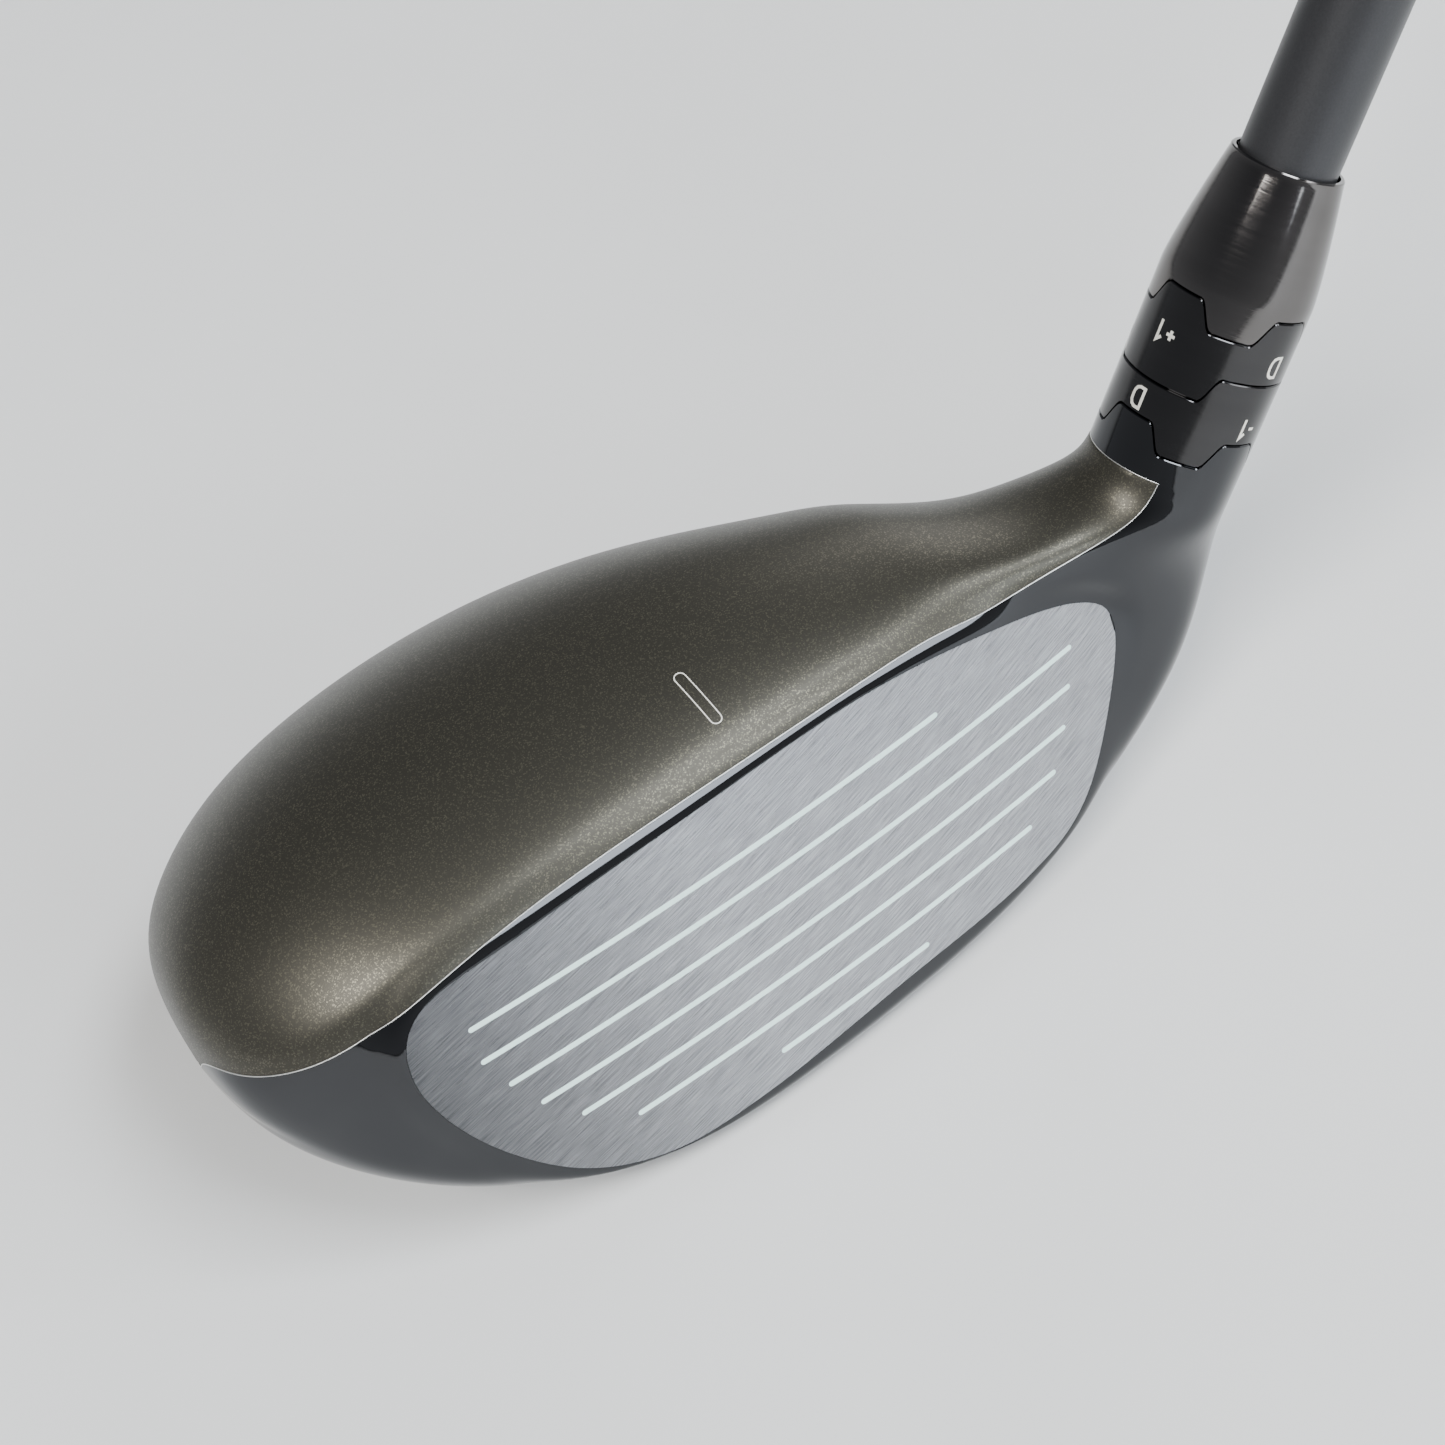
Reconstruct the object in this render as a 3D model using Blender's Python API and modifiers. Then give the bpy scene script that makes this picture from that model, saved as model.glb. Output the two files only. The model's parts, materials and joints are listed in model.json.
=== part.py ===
"""Hybrid golf club: adjustable head, shaft and grip, as separate sub-parts.

World frame: metres, +Z up, the club soled at address.  +X runs from toe to heel,
the face looks along -Y, and the origin is the middle of the flat resting pad of the sole.
The head's surface is one spline loft of closed sections, from the toe to the hosel ring.
Lengths inside the loft tables are in millimetres, measured from the centre of the face.
"""
import math

import bmesh
import bpy
import numpy as np
from mathutils import Matrix, Vector

MM = 0.001

# ---------------------------------------------------------------- driving dimensions
CLUB_LENGTH = 1016.0                   # along the shaft, ground line to butt cap
LIE = math.radians(58.7)               # shaft to ground
LOFT = math.radians(21.3)              # face to the shaft's plane
FACE_RADIUS = 285.0                    # bulge and roll of the face
FACE_CENTRE = Vector((3.4, -8.3, 16.3))   # from the resting pad to the centre of the face
HOSEL_POINT = Vector((43.0, 10.0, 0.0))    # a point of the shaft's axis, level with the face centre

# hosel, adapter and shaft: radii, and stations along the shaft's axis from HOSEL_POINT
HOSEL_RADIUS = 7.4
BORE_RADIUS = 5.7
TUBE_RADIUS = 6.8                      # outside of the hosel tube inside the head
BORE_BOTTOM = -6.0
SLEEVE_RADIUS = 5.4
SHAFT_TIP_RADIUS = 4.7
SHAFT_BUTT_RADIUS = 7.6
FIT_GAP = 0.25                         # between pieces that rest on each other
TOOTH_LEVELS = ((19.85, 22.55), (26.05, 28.7), (32.4, 35.05))   # low and high, hosel to ferrule
TOOTH_COUNTS = (4, 2, 4)
TOOTH_HALF_ANGLES = ((17.0, 28.0), (40.0, 48.0), (17.0, 28.0))   # at the tip and at the root
FERRULE_TOP = 47.7
FERRULE_TOP_RADIUS = 5.42
SLEEVE_TOP = 39.2
SLEEVE_BOTTOM = -4.0
SLEEVE_SHOULDER = 5.3
SCREW_SEAT = -9.0
SCREW_TIP = 3.5
SCREW_RADIUS = 2.5                     # M5
SCREW_HEAD_RADIUS = 4.2
PORT_RADIUS = 4.9

BOSS_TOP = 14.0                        # solid metal round the bore, inside the hollow head
BOSS_END = -26.0
SLOT_WIDTH = 0.2                       # spare room round the hosel tube in the face plate

# grip, as stations back from the butt
GRIP_LENGTH = 267.0
GRIP_MOUTH_RADIUS = 9.6
GRIP_BUTT_RADIUS = 13.0
CAP_RADIUS = 11.0

# sole weight
WEIGHT_PORT = Vector((-8.0, 32.2, -10.2))       # middle of the sole weight's seat
WEIGHT_TILT = math.radians(11.5)                # the rear sole rises to the back
WEIGHT_RADIUS = 6.3
WEIGHT_SHANK_RADIUS = 3.0
WEIGHT_HEAD = 3.6
WEIGHT_SHANK = 5.0
WEIGHT_PORT_RADIUS = 6.8
WEIGHT_THREAD_RADIUS = 3.3
WEIGHT_THREAD_DEPTH = 6.0
WEIGHT_BOSS_RADIUS = 8.6
WEIGHT_BOSS_HEIGHT = 7.6

# head shell
WALL = 2.2
CROWN_THICKNESS = 1.0
FACE_THICKNESS = 2.6
SEAM_GAP = 0.3
FACE_WINDOW_DEPTH = 6.2                # the opening behind the face plate
PRISM_FRONT = -8.0                     # how far a face cutter stands out in front
PLATE_PRISM_BACK = 9.0
CROWN_START = 0.35                     # ends of the crown, in length units
CROWN_END = 7.7
CAVITY_START = 1.2
CAVITY_END = 8.6
BLOCK_PLACE = (-14.0, 14.0, -9.6)      # internal weight
BLOCK_SIZE = (0.020, 0.013, 0.005)
GROOVE_SPACING = 3.44
GROOVE_RADIUS = 0.30
GROOVES = ((-33.8, 18.2), (-34.2, 34.7), (-33.0, 33.0), (-31.3, 30.9),
           (-28.6, 28.1), (-24.1, 23.4), (-9.5, 8.4))    # toe and heel ends, top groove first

# sections of the head, toe to heel, all at one x:
# x, front set back, leading edge z, topline z, crown rise, rear edge y, rear edge z, sole z
BODY_RINGS = (
    (-53.0, 14.2, 2.4, 6.6, 0.9, 28.5, 3.8, 1.4),
    (-52.0, 8.1, 1.4, 8.5, 2.8, 37.5, 3.3, -0.9),
    (-45.5, 2.1, -2.4, 12.0, 4.2, 45.6, 1.9, -5.7),
    (-36.0, 0.0, -8.2, 16.0, 3.6, 51.3, 0.9, -11.2),
    (-23.0, 0.0, -13.5, 17.7, 3.3, 54.1, 0.0, -15.8),
    (-7.5, 0.0, -15.0, 18.0, 3.4, 53.7, 0.0, -16.7),
    (7.5, 0.0, -14.7, 17.8, 3.0, 48.9, 0.5, -16.4),
    (21.0, 0.0, -13.7, 16.7, 1.9, 40.3, 1.2, -15.2),
)
TOE_POLE = (-53.2, 23.3, 3.3)
# oval sections that turn about the pivot above the neck, towards the hosel:
# turn, half width, middle y, near and far distance from the pivot,
# how far the front follows the face, and how square the oval is
NECK_PIVOT = (21.0, 29.0)
FAN_RINGS = (
    (20.0, 17.0, 17.1, 12.4, 46.8, 1.0, 0.06),
    (38.0, 12.0, 13.3, 16.4, 48.5, 0.9, 0.06),
    (50.0, 10.0, 11.9, 21.5, 45.5, 0.5, 0.04),
    (58.7, 7.9, 10.4, 25.2, 41.5, 0.0, 0.0),
)
FRONT_POINTS = range(2, 7)             # the control points of a section that lie on its front
HOSEL_RINGS = (16.0, 18.0, 20.0)       # round sections, stations on the shaft's axis
LOFT_END_STATION = 17.0                # above this the hosel is a plain cylinder
# where the crown starts, in profile units, one value for each control ring
CROWN_FRONT = (6.1, 5.9, 5.7, 5.45, 5.65, 5.95, 6.05, 6.05, 6.1, 6.2, 6.35, 6.4, 6.35, 6.3, 6.3, 6.3)
CROWN_REAR = 11.8
PROFILE_POINTS = 16                    # control points of one section

# outline of the face plate, (x, height along the face), toe end first
FACE_OUTLINE = (
    (-39.9, 8.6), (-36.7, 14.4), (-26.0, 15.8), (-9.5, 16.7), (11.4, 16.6), (27.8, 13.6),
    (37.4, 10.1), (40.4, 5.9), (36.9, -1.1), (29.9, -8.9), (20.9, -11.6), (4.0, -12.3),
    (-12.4, -13.4), (-22.8, -12.7), (-31.1, -8.4), (-37.5, 0.0),
)

COLLECTION = "hybrid_golf_club"
CUTTERS = "cutters"
SEGMENTS = 32


# ---------------------------------------------------------------- scene helpers
def clear_scene():
    for obj in list(bpy.data.objects):
        bpy.data.objects.remove(obj, do_unlink=True)
    for name in (COLLECTION, CUTTERS):
        old = bpy.data.collections.get(name)
        if old:
            bpy.data.collections.remove(old)
        bpy.context.scene.collection.children.link(bpy.data.collections.new(name))


def put(obj, collection=COLLECTION):
    for owner in list(obj.users_collection):
        owner.objects.unlink(obj)
    bpy.data.collections[collection].objects.link(obj)
    if collection == CUTTERS:
        obj.hide_render = True
        obj.display_type = "WIRE"
    return obj


def material(obj, colour, roughness, metallic):
    mat = bpy.data.materials.new(obj.name + "_finish")
    mat.use_nodes = True
    shader = mat.node_tree.nodes["Principled BSDF"]
    shader.inputs["Base Color"].default_value = (*colour, 1.0)
    shader.inputs["Roughness"].default_value = roughness
    shader.inputs["Metallic"].default_value = metallic
    obj.data.materials.clear()
    obj.data.materials.append(mat)


def smooth(obj, angle=40.0):
    obj.data.shade_smooth()
    obj.data.set_sharp_from_angle(angle=math.radians(angle))


def mesh_object(name, bm, collection=COLLECTION):
    bmesh.ops.recalc_face_normals(bm, faces=bm.faces[:])
    mesh = bpy.data.meshes.new(name)
    bm.to_mesh(mesh)
    bm.free()
    obj = bpy.data.objects.new(name, mesh)
    return put(obj, collection)


def boolean(obj, tool, operation="DIFFERENCE"):
    mod = obj.modifiers.new(operation.lower() + "_" + tool.name, "BOOLEAN")
    mod.operation = operation
    mod.solver = "EXACT"
    mod.object = tool


def axis_frame():
    """An empty on the shaft's axis whose +Z runs up the shaft and whose -X faces the toe."""
    frame = bpy.data.objects.new("shaft_axis", None)
    put(frame)
    frame.location = (FACE_CENTRE + HOSEL_POINT) * MM
    frame.rotation_euler = (0.0, math.pi / 2 - LIE, 0.0)
    return frame


def on_axis(obj, frame):
    obj.parent = frame
    return obj


# ---------------------------------------------------------------- turned and toothed pieces
def turned(name, profile, collection=COLLECTION, segments=SEGMENTS):
    """Turn a profile of (radius, station) pairs in mm, listed down its outer side."""
    mesh = bpy.data.meshes.new(name)
    verts = [(r * MM, 0.0, a * MM) for r, a in profile]
    edges = [(i, i + 1) for i in range(len(verts) - 1)]
    if profile[0][0] > 0:
        edges.append((len(verts) - 1, 0))
    mesh.from_pydata(verts, edges, [])
    obj = put(bpy.data.objects.new(name, mesh), collection)
    screw = obj.modifiers.new("turn", "SCREW")
    screw.axis = "Z"
    screw.steps = segments
    screw.render_steps = segments
    screw.use_merge_vertices = True
    screw.merge_threshold = 1e-6
    screw.use_smooth_shade = True
    return obj


def rod_profile(radius, top, bottom):
    """Profile of a plain rod, for turned()."""
    return ((0, top), (radius, top), (radius, bottom), (0, bottom))


def tooth_height(level, angle, clearance=0.0):
    """Height of a castellated edge; clearance is the mating piece's extra room."""
    low, high = TOOTH_LEVELS[level]
    tip, root = TOOTH_HALF_ANGLES[level]
    period = 360.0 / TOOTH_COUNTS[level]
    off = abs((angle + period / 2) % period - period / 2)
    spread = math.degrees(clearance / HOSEL_RADIUS) * 0.6
    share = (off - tip - spread) / (root - tip)
    return high - (high - low) * min(max(share, 0.0), 1.0) + clearance


def ring_angles(levels, clearance=0.0):
    """Even angles round a ring, with every corner of its teeth among them."""
    corners = set()
    spread = math.degrees(clearance / HOSEL_RADIUS) * 0.6
    for level in levels:
        period = 360.0 / TOOTH_COUNTS[level]
        for k in range(TOOTH_COUNTS[level]):
            for half in TOOTH_HALF_ANGLES[level]:
                corners.add(round((k * period + half) % 360.0, 3))
                corners.add(round((k * period - half) % 360.0, 3))
                if clearance:
                    corners.add(round((k * period + half + spread) % 360.0, 3))
                    corners.add(round((k * period - half - spread) % 360.0, 3))
    for k in range(SEGMENTS):
        angle = k * 360.0 / SEGMENTS
        if all(abs((angle - c + 180.0) % 360.0 - 180.0) > 4.0 for c in corners):
            corners.add(angle)
    return sorted(corners)


def ring_place(radius, angle, station):
    """Local point of the shaft's frame; angle 0 is the face side, 90 the toe side."""
    turn = math.radians(angle)
    return Vector((-radius * math.sin(turn), -radius * math.cos(turn), station)) * MM


def toothed_ring(name, outer, inner, bottom, top):
    """A ring between two profiles of (radius, station); bottom and top give the toothed edges."""
    levels = [edge[0] for edge in (bottom, top) if edge]
    angles = ring_angles(levels, FIT_GAP)
    loops = []
    for side in (outer, list(reversed(inner))):
        for k, (radius, station) in enumerate(side):
            at_bottom = k == (0 if side is outer else len(side) - 1)
            at_top = k == (len(side) - 1 if side is outer else 0)
            row = []
            for angle in angles:
                height = station
                if at_bottom and bottom:
                    height = tooth_height(bottom[0], angle, bottom[1])
                if at_top and top:
                    height = tooth_height(top[0], angle, top[1])
                row.append(ring_place(radius, angle, height))
            loops.append(row)
    bm = bmesh.new()
    rows = [[bm.verts.new(p) for p in row] for row in loops]
    count = len(angles)
    for k, row in enumerate(rows):
        after = rows[(k + 1) % len(rows)]
        for i in range(count):
            j = (i + 1) % count
            bm.faces.new((row[i], row[j], after[j], after[i]))
    obj = mesh_object(name, bm)
    smooth(obj)
    return obj


# ---------------------------------------------------------------- head surface
def face_depth(x, z):
    """How far back the bulged face lies at a place given by x and height."""
    up = z / math.cos(LOFT)
    for _ in range(4):
        up = (z + (x * x + up * up) * math.sin(LOFT) / (2 * FACE_RADIUS)) / math.cos(LOFT)
    return up * math.sin(LOFT) + (x * x + up * up) * math.cos(LOFT) / (2 * FACE_RADIUS)


def face_point(x, up, deep=0.0):
    """A point of the face at x and height along the face, sunk by deep along its normal."""
    sag = (x * x + up * up) / (2 * FACE_RADIUS) + deep
    return Vector((x, up * math.sin(LOFT) + sag * math.cos(LOFT),
                   up * math.cos(LOFT) - sag * math.sin(LOFT)))


def body_ring(x, set_back, edge_z, top_z, rise, rear_y, rear_z, sole_z):
    """Control points of one upright section: sole front, face, crown, rear and sole."""
    height = top_z - edge_z
    narrow = min(1.0, height / 30.0)
    front = [face_depth(x, edge_z + share * height) for share in (0.0, 0.22, 0.5, 0.8, 1.0)]
    low_y = front[0] + set_back
    top_y = front[4] + set_back
    apex = top_z + rise
    points = [
        (low_y + 8.0 * narrow, sole_z),
        (low_y + 1.6 * narrow, edge_z - (edge_z - sole_z) * 0.75),
        (low_y, edge_z + 0.06 * height),
        (front[1] + 0.85 * set_back, edge_z + 0.22 * height),
        (front[2] + 0.80 * set_back, edge_z + 0.50 * height),
        (front[3] + 0.85 * set_back, edge_z + 0.80 * height),
        (face_depth(x, edge_z + 0.97 * height) + set_back, edge_z + 0.97 * height),
        (top_y + 2.6 * narrow, top_z + 0.25 * rise),
    ]
    for along, share in ((0.24, 0.98), (0.50, 1.0), (0.76, 0.74), (0.95, 0.36)):
        points.append((top_y + (rear_y - top_y) * along, rear_z + (apex - rear_z) * share))
    points.append((rear_y + 0.6, rear_z))
    points.append((rear_y - 1.2, rear_z - (rear_z - sole_z) * 0.42))
    points.append((rear_y - (rear_y - low_y) * 0.20, sole_z + (rear_z - sole_z) * 0.22))
    points.append((low_y + (rear_y - low_y) * 0.45, sole_z))
    return [(x, y, z) for y, z in points]


def ring_turns():
    return [math.radians(-90.0 + 360.0 * k / PROFILE_POINTS) for k in range(PROFILE_POINTS)]


def round_swell():
    """How much wider than its curve the control polygon of a round section is."""
    return 6.0 / (4.0 + 2.0 * math.cos(2 * math.pi / PROFILE_POINTS))


def fan_ring(turn, half_width, middle_y, near, far, flush, square):
    lean = math.radians(turn)
    row = []
    for index, angle in enumerate(ring_turns()):
        swell = round_swell() * (1 + square * abs(math.sin(2 * angle)))
        reach = (near + far) / 2 - swell * (far - near) / 2 * math.sin(angle)
        x = NECK_PIVOT[0] + reach * math.sin(lean)
        z = NECK_PIVOT[1] - reach * math.cos(lean)
        y = middle_y - swell * half_width * math.cos(angle)
        if index in FRONT_POINTS:
            y += flush * (face_depth(x, z) - y)
        row.append((x, y, z))
    return row


def hosel_ring(station):
    swell = HOSEL_RADIUS * round_swell()
    return [hosel_surface(swell, angle, station) for angle in ring_turns()]


def hosel_surface(radius, angle, station):
    """Point round the shaft's axis in face-centre millimetres."""
    across = radius * math.sin(angle)
    return (HOSEL_POINT[0] + station * math.cos(LIE) - across * math.sin(LIE),
            HOSEL_POINT[1] - radius * math.cos(angle),
            HOSEL_POINT[2] + station * math.sin(LIE) + across * math.cos(LIE))


def control_rings():
    rings = [[TOE_POLE] * PROFILE_POINTS]
    rings += [body_ring(*ring) for ring in BODY_RINGS]
    rings += [fan_ring(*ring) for ring in FAN_RINGS]
    rings += [hosel_ring(station) for station in HOSEL_RINGS]
    return np.array(rings)


CONTROLS = control_rings()
LENGTH_UNITS = len(CONTROLS) - 3       # the length parameter runs from 0 to this


def length_weights(s):
    """Weights of the control rings at length parameter s, for a clamped cubic spline."""
    count = len(CONTROLS)
    knots = [0.0] * 3 + [float(k) for k in range(LENGTH_UNITS + 1)] + [float(LENGTH_UNITS)] * 3
    s = min(max(s, 0.0), LENGTH_UNITS - 1e-9)
    span = 3 + int(s)
    values = {span: 1.0}
    for degree in range(1, 4):
        grown = {}
        for k in range(span - degree, span + 1):
            left = knots[k + degree] - knots[k]
            right = knots[k + degree + 1] - knots[k + 1]
            value = 0.0
            if left > 0:
                value += values.get(k, 0.0) * (s - knots[k]) / left
            if right > 0:
                value += values.get(k + 1, 0.0) * (knots[k + degree + 1] - s) / right
            grown[k] = value
        values = grown
    weights = np.zeros(count)
    for k, value in values.items():
        weights[k] = value
    return weights


def profile_weights(t):
    """Weights of the section's control points at profile parameter t, for a closed cubic spline."""
    weights = np.zeros(PROFILE_POINTS)
    k = math.floor(t)
    f = t - k
    cubic = ((1 - f) ** 3 / 6, (3 * f ** 3 - 6 * f * f + 4) / 6,
             (-3 * f ** 3 + 3 * f * f + 3 * f + 1) / 6, f ** 3 / 6)
    for step, value in enumerate(cubic):
        weights[(k - 1 + step) % PROFILE_POINTS] += value
    return weights


def head_point(s, t):
    return profile_weights(t) @ np.tensordot(length_weights(s), CONTROLS, 1)


def world(point):
    return (Vector(point) + FACE_CENTRE) * MM


def profile_steps():
    """Profile parameters round a section, with the corners of the hosel's teeth among them."""
    return [(angle + 90.0) % 360.0 * PROFILE_POINTS / 360.0 for angle in ring_angles([0])]


def loft_end():
    """Length parameter at which the round sections reach LOFT_END_STATION."""
    axis = np.array((math.cos(LIE), 0.0, math.sin(LIE)))
    low, high = 0.0, float(LENGTH_UNITS)
    for _ in range(40):
        middle = (low + high) / 2
        centre = np.mean([head_point(middle, t) for t in range(PROFILE_POINTS)], axis=0)
        if (centre - np.array(HOSEL_POINT)) @ axis < LOFT_END_STATION:
            low = middle
        else:
            high = middle
    return low


def skin_rows(bm, rows, cap_first, cap_last):
    """Join closed rows of vertices with quads, and close the ends."""
    for row, after in zip(rows, rows[1:]):
        for i in range(len(row)):
            j = (i + 1) % len(row)
            bm.faces.new((row[i], row[j], after[j], after[i]))
    for row, pole in ((rows[0], cap_first), (rows[-1], cap_last)):
        if pole is None:
            bm.faces.new(row)
        else:
            tip = bm.verts.new(pole)
            for i in range(len(row)):
                bm.faces.new((row[i], row[(i + 1) % len(row)], tip))


def head_solid():
    """The head's full outer form with the toothed hosel end and its blind bore."""
    steps = sorted(profile_steps())
    stations = [0.12, 0.35, 0.7] + list(np.linspace(1.05, loft_end() - 0.3, 24))
    bm = bmesh.new()
    rows = [[bm.verts.new(world(head_point(s, t))) for t in steps] for s in stations]
    turns = [math.radians(t * 360.0 / PROFILE_POINTS - 90.0) for t in steps]
    ends = ((HOSEL_RADIUS, LOFT_END_STATION), (HOSEL_RADIUS, None), (BORE_RADIUS, None),
            (BORE_RADIUS, BORE_BOTTOM))
    for radius, station in ends:
        row = []
        for turn in turns:
            height = tooth_height(0, math.degrees(turn)) if station is None else station
            row.append(bm.verts.new(world(hosel_surface(radius, turn, height))))
        rows.append(row)
    skin_rows(bm, rows, world(TOE_POLE), None)
    return mesh_object("head_body", bm)


def cavity_solid():
    """The hollow inside the head, one wall thickness inside the outer form."""
    bm = bmesh.new()
    rows = []
    for s in np.linspace(CAVITY_START, CAVITY_END, 18):
        section = np.array([head_point(s, k * PROFILE_POINTS / 28) for k in range(28)])
        low = section.min(axis=0)
        high = section.max(axis=0)
        middle = (low + high) / 2
        height = math.hypot(high[0] - low[0], high[2] - low[2])
        shrink_up = 1 - 2 * WALL / height
        shrink = np.array((shrink_up, 1 - 2 * WALL / (high[1] - low[1]), shrink_up))
        rows.append([bm.verts.new(world(p)) for p in middle + (section - middle) * shrink])
    skin_rows(bm, rows, None, None)
    return mesh_object("cavity", bm, CUTTERS)


def seam_shift(s, t, gap, along_profile):
    """Step in a parameter that moves the surface point by about gap millimetres."""
    step = 0.02
    if along_profile:
        moved = head_point(s, t + step)
    else:
        moved = head_point(s + step, t)
    return gap * step / np.linalg.norm(moved - head_point(s, t))


def crown_patch(name, gap, collection):
    """The crown's part of the outer surface as an open sheet, gap inside the seam."""
    first = CROWN_START + seam_shift(CROWN_START, 9.0, gap, False)
    last = CROWN_END - seam_shift(CROWN_END, 9.0, gap, False)
    bm = bmesh.new()
    rows = []
    for s in np.linspace(first, last, 24):
        front = float(length_weights(s) @ np.array(CROWN_FRONT))
        front += seam_shift(s, front, gap, True)
        rear = CROWN_REAR - seam_shift(s, CROWN_REAR, gap, True)
        shares = [k / 14 for k in range(15)]
        row = [head_point(s, front + (rear - front) * share) for share in shares]
        rows.append([bm.verts.new(world(p)) for p in row])
    for row, after in zip(rows, rows[1:]):
        for i in range(len(row) - 1):
            bm.faces.new((row[i], after[i], after[i + 1], row[i + 1]))
    mesh = bpy.data.meshes.new(name)
    bm.to_mesh(mesh)
    bm.free()
    return put(bpy.data.objects.new(name, mesh), collection)


def thicken(obj, thickness, offset):
    mod = obj.modifiers.new("thickness", "SOLIDIFY")
    mod.thickness = thickness * MM
    mod.offset = offset
    return obj


# ---------------------------------------------------------------- face plate
def outline_points(gap):
    """The face outline as a smooth closed line through its points, moved in by gap."""
    count = len(FACE_OUTLINE)
    line = []
    for k in range(count):
        p0, p1, p2, p3 = (np.array(FACE_OUTLINE[(k + d - 1) % count]) for d in range(4))
        for f in (0.0, 0.25, 0.5, 0.75):
            line.append(0.5 * (2 * p1 + (p2 - p0) * f + (2 * p0 - 5 * p1 + 4 * p2 - p3) * f ** 2
                               + (3 * p1 - p0 - 3 * p2 + p3) * f ** 3))
    moved = []
    for k, point in enumerate(line):
        along = line[(k + 1) % len(line)] - line[k - 1]
        inward = np.array((along[1], -along[0])) / np.linalg.norm(along)
        moved.append(point + inward * gap)
    return moved


def outline_prism(name, gap, deep_front, deep_back, collection):
    """A block with the face's outline, standing along the face's normal."""
    bm = bmesh.new()
    normal = Vector((0.0, math.cos(LOFT), -math.sin(LOFT)))
    rows = []
    for deep in (deep_front, deep_back):
        row = []
        for x, up in outline_points(gap):
            flat = Vector((x, up * math.sin(LOFT), up * math.cos(LOFT)))
            row.append(bm.verts.new(world(flat + normal * deep)))
        rows.append(row)
    skin_rows(bm, rows, None, None)
    return mesh_object(name, bm, collection)


def groove_path(index):
    toe, heel = GROOVES[index]
    up = (3 - index) * GROOVE_SPACING
    count = 9
    return [face_point(toe + (heel - toe) * k / (count - 1), up) for k in range(count)]


def groove_cutters():
    """Seven rounded channels that follow the bulge of the face."""
    tools = []
    for index in range(len(GROOVES)):
        curve = bpy.data.curves.new("groove_line", "CURVE")
        curve.dimensions = "3D"
        line = curve.splines.new("POLY")
        path = groove_path(index)
        line.points.add(len(path) - 1)
        for point, place in zip(line.points, path):
            point.co = (*world(place), 1.0)
        curve.bevel_depth = GROOVE_RADIUS * MM
        curve.bevel_resolution = 0
        curve.use_fill_caps = True
        wire = put(bpy.data.objects.new("groove_line", curve), CUTTERS)
        graph = bpy.context.evaluated_depsgraph_get()
        graph.update()
        mesh = bpy.data.meshes.new_from_object(wire.evaluated_get(graph))
        bm = bmesh.new()
        bm.from_mesh(mesh)
        bmesh.ops.remove_doubles(bm, verts=bm.verts[:], dist=1e-6)
        bpy.data.objects.remove(wire, do_unlink=True)
        tools.append(mesh_object("groove_%d" % (index + 1), bm, CUTTERS))
    return tools


def face_plate(shaft_axis):
    bm = bmesh.new()
    rows = []
    for k in range(27):
        x = -46.0 + 92.0 * k / 26
        rows.append([bm.verts.new(world(face_point(x, -18.0 + 39.0 * j / 9))) for j in range(10)])
    for row, after in zip(rows, rows[1:]):
        for i in range(len(row) - 1):
            bm.faces.new((row[i], row[i + 1], after[i + 1], after[i]))
    mesh = bpy.data.meshes.new("face_plate")
    bmesh.ops.recalc_face_normals(bm, faces=bm.faces[:])
    if bm.faces[0].normal.y > 0:
        bmesh.ops.reverse_faces(bm, faces=bm.faces[:])
    bm.to_mesh(mesh)
    bm.free()
    plate = put(bpy.data.objects.new("face_plate", mesh))
    thicken(plate, FACE_THICKNESS, -1.0)
    outline = outline_prism("face_outline", SEAM_GAP, PRISM_FRONT, PLATE_PRISM_BACK, CUTTERS)
    boolean(plate, outline, "INTERSECT")
    relief = turned("tube_relief", rod_profile(TUBE_RADIUS + SLOT_WIDTH, BOSS_TOP, BOSS_END), CUTTERS)
    boolean(plate, on_axis(relief, shaft_axis))
    for tool in groove_cutters():
        boolean(plate, tool)
    material(plate, (0.40, 0.41, 0.43), 0.35, 1.0)
    return plate


# ---------------------------------------------------------------- pieces of the head

def port_frame():
    """An empty in the sole weight's port; its +Z points into the head."""
    frame = put(bpy.data.objects.new("weight_axis", None))
    frame.location = world(WEIGHT_PORT)
    frame.rotation_euler = (WEIGHT_TILT, 0.0, 0.0)
    return frame


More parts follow.
